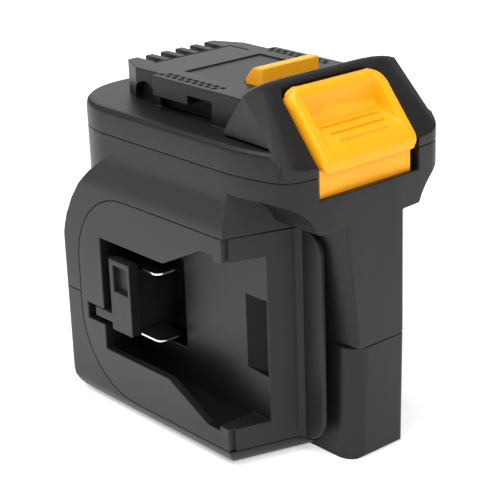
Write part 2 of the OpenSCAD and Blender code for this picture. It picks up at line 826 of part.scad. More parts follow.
module socket_insert() {
    color(plastic) difference() {
        insert_body();
        prism_x(-half - 1, -half + lip_t + eps) window_profile();
        box([-half - 1, slant_y - 1, insert_z0 - 1], [-half + rim_w, mouth_y + rim_set, insert_z1 + 1]);
        box([-half + lip_t, tooth_y, socket_z - lead_h / 2], [-tray_x, win_y1, socket_z + lead_h / 2]);
        box([-half - 1, slant_y - 1, socket_z - mouth_h / 2], [-tray_x, tooth_y + 1, socket_z + mouth_h / 2]);
        box([-tray_x - 1, pocket_y, socket_z - pocket_h / 2], [-pocket_x, win_y1, socket_z + pocket_h / 2]);
        prism_z(socket_z - catch_h / 2, socket_z + catch_h / 2) polygon([
            [-tray_x - 1, catch_y], [-tray_x + catch_depth, catch_y],
            [-tray_x + catch_depth, catch_y + 2], [-tray_x, catch_y + catch_len],
            [-tray_x - 1, catch_y + catch_len]
        ]);
        for (s = [-1, 1])
            box([-blade_x1 - clip_gap, win_y1 - 1, socket_z + s * blade_pitch / 2 - blade_t / 2 - 0.1],
                [-blade_x0 + clip_gap, tray_rear_y + 1, socket_z + s * blade_pitch / 2 + blade_t / 2 + 0.1]);
    }
}
module socket_insert_left() { socket_insert(); }
module socket_insert_right() { mirror([1, 0, 0]) socket_insert(); }

// Terminal block: a face flush with the socket face, a bridge and the holder that grips the blades
module terminal_block() {
    holder_z = blade_pitch / 2 + 1.6;
    color(dark_plastic) difference() {
        union() {
            box([-half, face_y0, face_z - block_face_h / 2],
                [-half + lip_t + 1, face_y1, face_z + block_face_h / 2]);
            box([-half + lip_t, face_y0 + 4, socket_z - holder_z],
                [-pocket_x - seam_gap, win_y1, socket_z + holder_z]);
            box([-half, face_y1 - 1, bridge_z], [-half + lip_t, bridge_y1, bridge_z + bridge_h - seam_gap]);
        }
        box([-half - 1, face_y0 + 1.4, face_z + 1.6],
            [-half + 2, face_y1 - 2.2, face_z + block_face_h / 2 - 2]);
        for (s = [-1, 1])
            box([-blade_x1 - eps, face_y0 - 1, socket_z + s * blade_pitch / 2 - blade_t / 2],
                [-blade_x0 + eps, win_y1 + 1, socket_z + s * blade_pitch / 2 + blade_t / 2]);
    }
}
module terminal_block_left() { terminal_block(); }
module terminal_block_right() { mirror([1, 0, 0]) terminal_block(); }

// Contact blade: a flat strip with a rounded outer corner at its tip and a narrower tail for the wire
module blade(s) {
    color(bright_metal) translate([0, 0, socket_z + s * blade_pitch / 2 - blade_t / 2])
        linear_extrude(height = blade_t) polygon(concat(
            [[-blade_x0, blade_y1], [-blade_tail_x, blade_y1], [-blade_tail_x, tray_rear_y]],
            [[-blade_x1, tray_rear_y], [-blade_x1, blade_y0 + blade_r]],
            arc([-blade_x1 + blade_r, blade_y0 + blade_r], blade_r, 180, 270, 6),
            [[-blade_x0, blade_y0]]
        ));
}
module blade_positive_left() { blade(1); }
module blade_negative_left() { blade(-1); }
module blade_positive_right() { mirror([1, 0, 0]) blade(1); }
module blade_negative_right() { mirror([1, 0, 0]) blade(-1); }

// Cover band with a rounded deck edge
module cover_band() {
    hull() {
        prism_z(seam_z, deck_z - deck_r) polygon(plan_outline(0));
        for (a = [30, 60, 90])
            prism_z(deck_z - deck_r, deck_z - deck_r * (1 - sin(a)))
                polygon(plan_outline(deck_r * (1 - cos(a))));
    }
}

// Rail block: web, rails with a stop at the front, and the tail with its narrowed end
module rail_plan() {
    side = [
        [-web_w / 2, rail_y0 - 6], [-web_w / 2, rail_y1],
        [-tail_w / 2, rail_y1], [-tail_w / 2, tail_y], [-tail_end_w / 2, block_y1]
    ];
    polygon(concat(side, back_mirror(side)));
}
module rail_block() {
    difference() {
        union() {
            prism_z(deck_z - 1, block_z) rail_plan();
            box([-rail_w / 2, rail_y0 - 6, rail_z], [rail_w / 2, rail_y1, block_z]);
            box([-rail_w / 2, rail_y0 - 6, deck_z - 1], [rail_w / 2, rail_y0 + rail_stop, block_z]);
        }
        both_sides() {
            translate([-tail_w / 2 - 1, (rail_y1 + tail_y) / 2 + 2, deck_z + 0.8])
                rotate([0, 90, 0]) cylinder(h = 4.2, r = lead_arch_r);
            box([-rail_w / 2 - 1, rail_y0 + rail_stop, rail_z - 1],
                [-web_w / 2 - 1, rail_y0 + rail_stop + notch_len, rail_z + notch_h]);
        }
    }
}
module grip_pits() {
    pitch = (rail_len - rail_stop) / pit_count;
    for (i = [0:pit_count - 1])
        for (row = [0:1])
            translate([-rail_w / 2 + 2 + row * 2.2, rail_y1 - 3 - i * pitch - row * pitch / 2, block_z - 0.6])
                cube([1.6, pitch * 0.62, 1.6], center = false);
}
module terminal_slots() {
    for (i = [-2:2])
        box([i * slot_pitch - slot_w / 2, slot_y, slot_z - eps],
            [i * slot_pitch + slot_w / 2, block_y1 + 1, block_z + 1]);
}

// Hump round the button: a roof over the bowed crest, the deck and the foot of the slope
function crest_fall(x) = apex_drop * pow(x / apex_half, 6);
module spot(p) {
    translate(p) cube(eps, center = true);
}
module hump_roof() {
    hull() {
        for (x = [-30, -27, -23, -17, -9, 0, 9, 17, 23, 27, 30])
            for (t = [-0.4, 0, 0.5, 1])
                spot([x, crest_y - crest_r * sin(slope_a * t),
                    crest_z - crest_r * (1 - cos(slope_a * t)) - crest_fall(x)]);
        for (s = [-1, 1]) {
            spot([s * apex_half, crest_y, crest_z - apex_drop]);
            spot([s * hump_half, hump_y, deck_z - 0.5]);
            spot([s * hump_rear_half, front_y + hump_rear, deck_z - 0.5]);
            spot([s * slope_half, foot_y, slope_foot_z]);
        }
    }
}
module hump_skirt() {
    side = hump_half + 2;
    hull() for (s = [-1, 1]) {
        spot([s * hump_half, hump_y, deck_z - 0.5]);
        spot([s * side, hump_y, deck_z - 3]);
        spot([s * side, hump_y, slope_foot_z - 1]);
        spot([s * slope_half, foot_y, slope_foot_z]);
        spot([s * slope_half, foot_y, slope_foot_z - 1]);
    }
}
module hump() {
    difference() {
        intersection() {
            union() {
                hump_roof();
                hump_skirt();
            }
            prism_z(seam_z, crest_z + 1) polygon(plan_outline(0));
        }
        both_sides()
            box([-half, hump_y + 2, deck_z], [-rail_w / 2 - 1.5, rail_y1, deck_z + shadow_gap]);
    }
}
module slope_void() {
    box([-half, front_y - 4, slope_foot_z], [half, hump_y, deck_z + 1]);
}
module opening_plan() {
    r = 4;
    w = opening_w / 2;
    side = concat(
        [[-w, front_y - 2], [-w, opening_y - r]],
        arc([-w + r, opening_y - r], r, 180, 90, 5)
    );
    polygon(concat(side, back_mirror(side)));
}
module cover_cavity() {
    intersection() {
        prism_z(seam_z - 1, cavity_z) polygon(plan_outline(wall));
        box([-half, crest_y - 8, 0], [half, rear_y, cavity_z]);
    }
    prism_z(seam_z - 1, crest_z + 2) opening_plan();
    box([-arm_half - 1, opening_y - 2, seam_z - 1], [arm_half + 1, latch_y1 + 1.2, arm_z1 + slide_gap]);
    box([-arm_half - slide_gap, latch_y0 - slide_gap, arm_z1],
        [arm_half + slide_gap, latch_y1 + slide_gap, block_z + 1]);
    box([-carrier_half - seam_gap, carrier_y0 - seam_gap, seam_z - 1],
        [carrier_half + seam_gap, carrier_y1 + seam_gap, slot_z]);
}
module top_cover() {
    color(plastic) difference() {
        union() {
            difference() {
                union() {
                    difference() {
                        cover_band();
                        slope_void();
                    }
                    rail_block();
                    hump();
                }
                cover_cavity();
                terminal_slots();
                both_sides() grip_pits();
                box([-16.5, latch_y1 + 1.5, block_z - 0.5], [16.5, rail_y1 - 4, block_z + 1]);
                box([-16, tail_y - 0.4, block_z - 0.5], [17.8, tail_y + 0.4, block_z + 1]);
                box([17, rail_y1 + 3, block_z - 0.5], [17.8, tail_y, block_z + 1]);
            }
            at_posts() post(0, 0, lug_z + lug_t, cavity_z + 0.5, post_r - 0.5);
        }
        at_posts() post(0, 0, lug_z, lug_z + cover_screw_len + 1, screw_d / 2 + 0.05);
    }
}

// Release button: finger face, lip, lower panel, arm and latch tab in one moulding
module button_profile() {
    k = 1 / tan(slope_a);
    face = [foot_y, slope_foot_z] + slope_n * button_proud;
    top = [face[0] + (button_top - face[1]) * k, button_top];
    brow = [front_y, face[1] + (front_y - face[0]) / k];
    rear = [button_back, button_top];
    r = button_edge_r;
    polygon(concat(
        [[button_back, arm_z0], rear],
        corner_arc(rear, top, brow, r, 4),
        corner_arc(top, brow, [front_y, lip_z], r, 3),
        corner_arc(brow, [front_y, lip_z], [panel_y, lip_z], r / 2, 2),
        [[panel_y + panel_t, lip_z], [panel_y + panel_t, notch_z - 9]]
    ));
}
module button_front() {
    w = button_w / 2;
    r = button_r;
    z = button_top - button_bow;
    side = concat(
        [[-w + lip_r, lip_z]],
        arc([-w + lip_r, lip_z + lip_r], lip_r, 270, 180, 5),
        [[-w, z - r]],
        arc([-w + r, z - r], r, 180, 92, 6),
        [[-w / 2, button_top - button_bow / 4]]
    );
    polygon(concat(side, [[0, button_top]], back_mirror(side)));
}
module finger_notch() {
    run = notch_y - front_y + 6;
    prism_x(-finger_half, finger_half) polygon([
        [notch_y, notch_z], [notch_y - run, notch_z - run * tan(finger_fall)],
        [notch_y - run, crest_z], [notch_y, crest_z]
    ]);
}
module finger_ridges() {
    for (i = [0:2])
        translate([0, notch_y, notch_z]) rotate([finger_fall, 0, 0])
            translate([0, -(i + 1) * ridge_pitch / cos(finger_fall), 0])
                prism_x(i - ridge_half, ridge_half - i) polygon([[-0.9, -0.5], [-0.5, 0.4], [0.5, 0.4], [0.9, -0.5]]);
}
module latch_profile() {
    top = block_z + latch_h;
    polygon([
        [latch_y0, arm_z0], [latch_y0, top - 0.4], [latch_y0 + 0.4, top],
        [latch_y0 + 0.42 * latch_t, top], [latch_y0 + 0.62 * latch_t, top - 0.9],
        [latch_y1, block_z + 1.2], [latch_y1, arm_z0]
    ]);
}
module release_button() {
    color(amber) union() {
        difference() {
            intersection() {
                prism_x(-button_w / 2, button_w / 2) button_profile();
                prism_y(front_y - 1, button_back + 1) button_front();
            }
            finger_notch();
        }
        finger_ridges();
        box([-button_w / 2 + 0.4, panel_y, panel_z], [button_w / 2 - 0.4, panel_y + panel_t, lip_z + 3]);
        box([-arm_half, button_back - 1, arm_z0], [arm_half, latch_y0 + 1, arm_z1]);
        prism_x(-latch_w / 2, latch_w / 2) latch_profile();
        for (x = [-spring_pitch / 2, spring_pitch / 2]) {
            post(x, spring_y, spring_z1, arm_z0 - 3, spring_d / 2 + 0.6);
            post(x, spring_y, spring_z1 - 3, spring_z1 + 1, spring_d / 2 - spring_wire - 0.4);
        }
    }
}

// Spring: one unbroken wire, with ends that stand square on their seats
spring_r = (spring_d - spring_wire) / 2;
function spring_route() =
    let (
        lo = spring_z0 + 2 * spring_wire,
        rise = spring_z1 - spring_z0 - 4 * spring_wire,
        steps = spring_turns * 8
    )
    concat(
        [[spring_r, 0, spring_z0], [spring_r, 0, spring_z0 + spring_wire]],
        [for (i = [0:steps]) let (a = 45 * i) [spring_r * cos(a), spring_r * sin(a), lo + rise * i / steps]],
        [[spring_r, 0, spring_z1 - spring_wire], [spring_r, 0, spring_z1]]
    );
function least_gap(p, d) =
    min([for (i = [0:len(p) - 1]) for (j = [i + 6:1:len(p) - 1]) norm(p[i] - p[j])]) - d;
echo(spring_least_gap = least_gap(spring_route(), spring_wire));
module spring(x) {
    color(steel) translate([x, spring_y, 0]) tube(spring_route(), spring_wire, 6);
}
module release_spring_left() { spring(-spring_pitch / 2); }
module release_spring_right() { spring(spring_pitch / 2); }

// Output contacts: a carrier under the slots, with a sprung clip in each end slot and a tongue in the middle
module output_carrier() {
    color(dark_plastic) difference() {
        box([-carrier_half, carrier_y0, carrier_z0], [carrier_half, carrier_y1, slot_z]);
        for (i = [-2, 0, 2])
            box([i * slot_pitch - slot_w / 2 + clip_gap, slot_y + 1, carrier_z0 - 1],
                [i * slot_pitch + slot_w / 2 - clip_gap, carrier_y1 - 1, slot_z + 1]);
    }
}
module output_clip(i) {
    w = slot_w / 2 - clip_gap;
    color(copper) translate([i * slot_pitch, 0, 0]) {
        for (s = [-1, 1])
            box([s * (w - clip_t / 2) - clip_t / 2, slot_y + 1, carrier_z0],
                [s * (w - clip_t / 2) + clip_t / 2, carrier_y1 - 1, block_z - 1.5]);
        box([-w, slot_y + 1, carrier_z0 - clip_t], [w, carrier_y1 - 1, carrier_z0]);
    }
}
module output_clip_positive() { output_clip(-2); }
module output_clip_negative() { output_clip(2); }
module signal_contact() {
    w = slot_w / 2 - clip_gap;
    color(copper) {
        box([w - clip_t, slot_y + 1, carrier_z0], [w, carrier_y1 - 1, block_z - 3]);
        box([-w, slot_y + 1, carrier_z0 - clip_t], [w, carrier_y1 - 1, carrier_z0]);
    }
}

// Circuit board and what stands on it
module circuit_board() {
    color(board_green) difference() {
        box([-board_w / 2, board_y0, board_z], [board_w / 2, board_y1, board_top]);
        at_board_posts() post(0, 0, board_z - 1, board_top + 1, board_screw_d / 2 + 0.2);
    }
}
module power_transistors() {
    color(dark_plastic) for (i = [-1:1])
        box([i * fet_pitch - fet_w / 2, fet_y, board_top],
            [i * fet_pitch + fet_w / 2, fet_y + fet_len, board_top + fet_h]);
}
module heat_spreader() {
    z = board_top + fet_h;
    pitch = (2 * spreader_half - fin_t) / (fin_count - 1);
    color(bright_metal) {
        box([-spreader_half, fet_y, z], [spreader_half, fet_y + fet_len, z + fin_t]);
        for (i = [0:fin_count - 1])
            box([-spreader_half + i * pitch, fet_y, z + fin_t - eps],
                [-spreader_half + i * pitch + fin_t, fet_y + fet_len, z + fin_t + fin_h]);
    }
}
module capacitor() {
    color(steel) post(0, cap_y, board_top, board_top + cap_h, cap_d / 2);
}

// Wires from the blade tails to the board, and from the board to the output clips
module blade_wire(s) {
    w = wire_d;
    z = socket_z + s * blade_pitch / 2;
    x = -(blade_x0 + blade_x1) / 2;
    bend_y = blade_y1 + 1.9 * w;
    pad = [-board_w / 2 + (s > 0 ? 2 : 5) * w, board_y1 - 4.6 * w, board_top];
    drop = s > 0 ? [[x + 3.3 * w, bend_y, socket_z - 2.5 * w]] : [];
    color(s > 0 ? "firebrick" : "dimgray") tube(concat(
        [[x, blade_y1, z], [x, blade_y1 + w, z]],
        [[x + 0.8 * w, bend_y, z - 0.4 * w], [x + 2.5 * w, bend_y, z - 2.5 * w]],
        drop,
        [pad + [-2 * w, 5 * w, 2.5 * w], pad + [0, 1.3 * w, 2 * w], pad + [0, 0, w], pad]
    ), w, 8);
}
module wire_positive_left() { blade_wire(1); }
module wire_negative_left() { blade_wire(-1); }
module wire_positive_right() { mirror([1, 0, 0]) blade_wire(1); }
module wire_negative_right() { mirror([1, 0, 0]) blade_wire(-1); }
module output_wire(s) {
    w = wire_d;
    pad = [s * 2.5 * w, pad_y, board_top];
    tip = [s * 2 * slot_pitch, (slot_y + carrier_y1) / 2, carrier_z0 - clip_t];
    rise = tip[2] - pad[2];
    knee = [s * 3.2 * w, pad_y + 2 * w, rear_neck_z - w / 2];
    color(s < 0 ? "firebrick" : "dimgray") tube([
        pad, pad + [0, 0, w], pad + [s * w / 2, w / 2, rise * 0.4], knee,
        tip - [s * w / 2, 2.2 * w, 2.7 * w], tip - [s * w / 4, w, 2.1 * w],
        tip - [0, 0, 1.2 * w], tip
    ], w, 8);
}
module wire_output_positive() { output_wire(-1); }
module wire_output_negative() { output_wire(1); }

// Screws: head, shank and a cross recess
module screw(len) {
    difference() {
        union() {
            translate([0, 0, -head_h]) cylinder(h = head_h, r = head_r);
            cylinder(h = len, r = screw_d / 2);
        }
        translate([0, 0, -head_h - 1]) cylinder(h = 1 + head_h * 0.6, r = head_r * 0.5, $fn = 6);
    }
}
module cover_screws() {
    color(steel) at_posts() translate([0, 0, lug_z]) screw(cover_screw_len);
}
module housing_screws() {
    color(steel) at_posts() translate([0, 0, head_z]) screw(housing_screw_len);
}
module board_screws() {
    color(steel) at_board_posts() {
        post(0, 0, board_z - board_screw_len, board_top, board_screw_d / 2);
        post(0, 0, board_top, board_top + 0.8 * board_screw_d, board_screw_d);
    }
}

top_cover();
housing_upper();
housing_lower();
socket_insert_left();
socket_insert_right();
terminal_block_left();
terminal_block_right();
blade_positive_left();
blade_negative_left();
blade_positive_right();
blade_negative_right();
release_button();
release_spring_left();
release_spring_right();
output_carrier();
output_clip_positive();
output_clip_negative();
signal_contact();
circuit_board();
power_transistors();
heat_spreader();
capacitor();
wire_positive_left();
wire_negative_left();
wire_positive_right();
wire_negative_right();
wire_output_positive();
wire_output_negative();
cover_screws();
housing_screws();
board_screws();
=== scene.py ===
"""Tool battery adapter: fine shapes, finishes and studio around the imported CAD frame."""

import logging
import math
from contextlib import contextmanager
from dataclasses import dataclass, field
from enum import Enum
from typing import Callable, Iterator, Optional

import bmesh
import bpy
from mathutils import Matrix, Vector


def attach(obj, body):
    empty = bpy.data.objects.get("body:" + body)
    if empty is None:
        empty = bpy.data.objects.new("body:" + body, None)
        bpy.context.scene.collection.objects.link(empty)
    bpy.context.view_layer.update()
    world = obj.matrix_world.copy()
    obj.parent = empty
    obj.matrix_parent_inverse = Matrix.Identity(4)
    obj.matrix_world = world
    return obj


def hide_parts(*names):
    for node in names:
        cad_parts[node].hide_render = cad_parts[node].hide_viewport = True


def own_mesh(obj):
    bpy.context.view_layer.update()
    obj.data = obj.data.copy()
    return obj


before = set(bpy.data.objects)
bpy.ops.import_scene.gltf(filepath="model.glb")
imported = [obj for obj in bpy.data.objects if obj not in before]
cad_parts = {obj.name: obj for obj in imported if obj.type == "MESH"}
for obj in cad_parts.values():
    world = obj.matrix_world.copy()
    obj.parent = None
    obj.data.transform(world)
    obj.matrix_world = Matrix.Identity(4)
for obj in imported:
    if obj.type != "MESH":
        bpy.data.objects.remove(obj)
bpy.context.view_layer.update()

MM = 0.001
LOG = logging.getLogger("battery_adapter")
Span = tuple[float, float]
Spot = tuple[float, float]
Place = tuple[float, float, float]
Colour = tuple[float, float, float]

MERGE = 0.004  # reach, in millimetres, within which two points are one
NODE_FLAT = 0.8  # degrees between two faces of a CAD node that are one flat face
EDGE_SHARE = 0.35  # part of the shortest edge beside it that a rounding may use
RUN_ON = -0.88  # dot product below which two edges at a point run on from each other
LEAST_WIDTH = 0.04 * MM  # a narrower rounding is left out
SMOOTH_ANGLE = math.radians(38)  # widest angle between faces that are shaded as one
ARC_STEPS = 5  # fewest steps round a corner of a profile
FACING = 0.9  # least share of a face's normal along the way that it looks
EDGE_WEAR = (0.52, 0.62)  # pointedness at which the wear of an edge starts and is full
CLOUDY = 3.0  # octaves of a noise that makes clouds
MIX_A, MIX_B, MIX_RESULT = 6, 7, 2  # colour sockets of a Mix node
WHITE = (1.0, 1.0, 1.0, 1.0)


class Body(Enum):
    """CAD bodies that a piece can ride on."""

    SHELL = "body"
    BUTTON = "button"


class Slot(Enum):
    """Material slots of the record, one named for each new piece."""

    HOUSING = "housing_plastic"
    INSERT = "insert_plastic"
    TERMINAL = "terminal_plastic"
    CONTACT = "contact_metal"
    BUTTON = "button_plastic"
    STEEL = "steel"
    WIRE_RED = "wire_red"
    WIRE_BLACK = "wire_black"


class Side(Enum):
    """Side of the adapter."""

    LEFT = "left"
    RIGHT = "right"

    @property
    def sign(self) -> int:
        """Give the sign of X on this side."""
        return -1 if self is Side.LEFT else 1


def deselect_all() -> None:
    """Leave object mode clean, with nothing selected."""
    if bpy.context.object is not None and bpy.context.object.mode != "OBJECT":
        bpy.ops.object.mode_set(mode="OBJECT")
    bpy.ops.object.select_all(action="DESELECT")


def activate(obj: bpy.types.Object) -> None:
    """Make one object the only selected and active one.

    Args:
        obj: The object to work on.
    """
    deselect_all()
    obj.select_set(True)
    bpy.context.view_layer.objects.active = obj


@contextmanager
def editing(obj: bpy.types.Object, whole: bool = False) -> Iterator[bmesh.types.BMesh]:
    """Open an object in edit mode, with nothing or all of it selected.

    Args:
        obj: The mesh object to edit.
        whole: Whether all of it is selected.

    Returns:
        The edit mesh, for picking faces and edges by their place.
    """
    activate(obj)
    bpy.ops.object.mode_set(mode="EDIT")
    bpy.ops.mesh.select_all(action="SELECT" if whole else "DESELECT")
    yield bmesh.from_edit_mesh(obj.data)
    bpy.ops.object.mode_set(mode="OBJECT")


def apply_modifier(obj: bpy.types.Object, kind: str, **settings: object) -> None:
    """Add a modifier with its settings and apply it.

    Args:
        obj: The object that gets the modifier.
        kind: Blender's modifier type.
        settings: Properties of the modifier.
    """
    activate(obj)
    modifier = obj.modifiers.new(kind.lower(), kind)
    for name, value in settings.items():
        setattr(modifier, name, value)
    bpy.ops.object.modifier_apply(modifier=modifier.name)


def add_object(name: str, data: bpy.types.ID) -> bpy.types.Object:
    """Add an object with its data to the scene.

    Args:
        name: Name of the new object.
        data: Its mesh, curve, light or camera.

    Returns:
        The new object.
    """
    obj = bpy.data.objects.new(name, data)
    bpy.context.scene.collection.objects.link(obj)
    return obj


def merge_flat(obj: bpy.types.Object, reach: float, angle: float) -> None:
    """Merge a piece's doubled points and join its flat faces.

    Args:
        obj: The piece.
        reach: Distance within which points are merged, in millimetres.
        angle: Largest angle between faces that are joined, in degrees.
    """
    with editing(obj, whole=True):
        bpy.ops.mesh.remove_doubles(threshold=reach * MM)
        bpy.ops.mesh.dissolve_limited(angle_limit=math.radians(angle))


def copy_of_node(node: str, name: str) -> bpy.types.Object:
    """Copy a CAD node's mesh as a merged mesh of flat faces.

    Args:
        node: Name of the CAD node.
        name: Name of the new piece.

    Returns:
        The new object, with no material.
    """
    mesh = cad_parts[node].data.copy()
    mesh.materials.clear()
    obj = add_object(name, mesh)
    activate(obj)
    if mesh.has_custom_normals:
        bpy.ops.mesh.customdata_custom_splitnormals_clear()
    merge_flat(obj, MERGE, NODE_FLAT)
    return obj


@dataclass(frozen=True)
class EdgeZone:
    """Box inside which a piece's edges get a rounding of their own. Sizes in millimetres."""

    low: Place
    high: Place
    radius: float
    play: float = 0.01

    def holds(self, edge: bmesh.types.BMEdge) -> bool:
        """Tell whether both ends of an edge lie in the zone."""
        return all(a - self.play <= c / MM <= b + self.play
                   for v in edge.verts for a, b, c in zip(self.low, self.high, v.co))


def edge_widths(mesh: bmesh.types.BMesh, radius: float, zones: tuple[EdgeZone, ...],
                least_angle: float) -> list[float]:
    """Choose the width of the rounding on each edge, the same all along edges that run on from each other.

    Args:
        mesh: The mesh to round.
        radius: Width on a long edge, in millimetres.
        zones: Places with a rounding of their own; the first that holds an edge counts.
        least_angle: Smallest angle between two faces that counts as an edge, in degrees.

    Returns:
        A width in metres for each edge, 0 for one that stays as it is.
    """
    bend = math.radians(least_angle)
    leader = {e: e for e in mesh.edges if len(e.link_faces) == 2 and e.calc_face_angle(0.0) > bend}

    def first(edge: bmesh.types.BMEdge) -> bmesh.types.BMEdge:
        """Find the edge that stands for a whole run.

        Args:
            edge: Any edge of the run.

        Returns:
            The edge that stands for it.
        """
        while leader[edge] is not edge:
            edge = leader[edge]
        return edge

    limits: dict[bmesh.types.BMEdge, float] = {}
    for edge in leader:
        limit = MM * next((z.radius for z in zones if z.holds(edge)), radius)
        for vert in edge.verts:
            way = (edge.other_vert(vert).co - vert.co).normalized()
            runs_on = False
            for other in vert.link_edges:
                if other is edge:
                    continue
                turn = way.dot((other.other_vert(vert).co - vert.co).normalized())
                if turn < RUN_ON and other in leader:
                    runs_on = True
                    leader[first(other)] = first(edge)
                else:
                    limit = min(limit, EDGE_SHARE * other.calc_length())
            if not runs_on:
                limit = min(limit, EDGE_SHARE * edge.calc_length())
        limits[edge] = limit
    least: dict[bmesh.types.BMEdge, float] = {}
    for edge, limit in limits.items():
        head = first(edge)
        least[head] = min(limit, least.get(head, limit))
    widths = [0.0] * len(mesh.edges)
    for edge in leader:
        width = least[first(edge)]
        widths[edge.index] = width if width > LEAST_WIDTH else 0.0
    return widths


def soften(obj: bpy.types.Object, radius: float, zones: tuple[EdgeZone, ...] = (),
           least_angle: float = 22.0, segments: int = 2) -> None:
    """Round every sharp edge, narrower where the faces beside it are small.

    Args:
        obj: The piece to round.
        radius: Width of the rounding on a long edge, in millimetres.
        zones: Places with a rounding of their own.
        least_angle: Smallest angle between two faces that counts as an edge, in degrees.
        segments: Number of faces across the rounding.
    """
    mesh = obj.data
    widest = MM * max([radius] + [z.radius for z in zones])
    work = bmesh.new()
    work.from_mesh(mesh)
    work.edges.ensure_lookup_table()
    weights = [w / widest for w in edge_widths(work, radius, zones, least_angle)]
    work.free()
    weight = "bevel_weight_edge"
    layer = mesh.attributes.get(weight) or mesh.attributes.new(weight, "FLOAT", "EDGE")
    layer.data.foreach_set("value", weights)
    apply_modifier(obj, "BEVEL", width=widest, segments=segments, limit_method="WEIGHT",
                   use_clamp_overlap=False, miter_outer="MITER_SHARP", loop_slide=False)
    layer = mesh.attributes.get(weight)
    if layer is not None:
        mesh.attributes.remove(layer)
    smooth_faces(obj)


def smooth_faces(obj: bpy.types.Object) -> None:
    """Shade a piece smooth, with each flat face keeping its own direction.

    Args:
        obj: The piece to shade.
    """
    activate(obj)
    bpy.ops.object.shade_smooth_by_angle(angle=SMOOTH_ANGLE)
    apply_modifier(obj, "WEIGHTED_NORMAL", keep_sharp=True, weight=100)


def block(name: str, low: Place, high: Place) -> bpy.types.Object:
    """Add a box between two corners, to be shaped further.

    Args:
        name: Name of the new piece.
        low: Lowest corner in millimetres.
        high: Highest corner in millimetres.

    Returns:
        The new object, with its place in its mesh.
    """
    deselect_all()
    middle = [(a + b) / 2 * MM for a, b in zip(low, high)]
    size = [(b - a) * MM for a, b in zip(low, high)]
    bpy.ops.mesh.primitive_cube_add(size=1.0, location=middle, scale=size)
    obj = bpy.context.object
    obj.name = obj.data.name = name
    bpy.ops.object.transform_apply(location=True, rotation=True, scale=True)
    return obj


def cut_away(obj: bpy.types.Object, place: Place, outward: Place) -> None:
    """Cut off what lies outside a plane and close the cut.

    Args:
        obj: The piece to cut.
        place: A point of the plane in millimetres.
        outward: Direction of the side that goes.
    """
    with editing(obj, whole=True):
        bpy.ops.mesh.bisect(plane_co=[c * MM for c in place], plane_no=outward,
                            use_fill=True, clear_outer=True)


def combine(obj: bpy.types.Object, tool: bpy.types.Object, operation: str) -> None:
    """Join a tool to a piece or cut it out of the piece, and remove the tool.

    Args:
        obj: The piece.
        tool: The tool.
        operation: Blender's name of the boolean operation.
    """
    apply_modifier(obj, "BOOLEAN", object=tool, operation=operation, solver="EXACT")
    mesh = tool.data
    bpy.data.objects.remove(tool)
    bpy.data.meshes.remove(mesh)


def tube(name: str, route: list[Place], diameter: float, smooth: bool) -> bpy.types.Object:
    """Sweep a round section along a route and close its ends.

    Args:
        name: Name of the new piece.
        route: Points that the middle passes through, in millimetres.
        diameter: Diameter in millimetres.
        smooth: Whether the route is rounded between its points.

    Returns:
        The new object as a mesh.
    """
    curve = bpy.data.curves.new(name, "CURVE")
    curve.dimensions = "3D"
    curve.bevel_depth = diameter / 2 * MM
    curve.bevel_resolution = 4
    curve.resolution_u = 8
    curve.use_fill_caps = True
    spline = curve.splines.new("BEZIER" if smooth else "POLY")
    points = spline.bezier_points if smooth else spline.points
    points.add(len(route) - 1)
    for point, place in zip(points, route):
        spot = [c * MM for c in place]
        if smooth:
            point.co = spot
            point.handle_left_type = point.handle_right_type = "AUTO"
        else:
            point.co = (*spot, 1.0)
    activate(add_object(name, curve))
    bpy.ops.object.convert(target="MESH")
    obj = bpy.context.object
    with editing(obj, whole=True):
        bpy.ops.mesh.remove_doubles(threshold=MERGE * MM)
        bpy.ops.mesh.normals_make_consistent(inside=False)
    bpy.ops.object.shade_smooth_by_angle(angle=SMOOTH_ANGLE)
    return obj


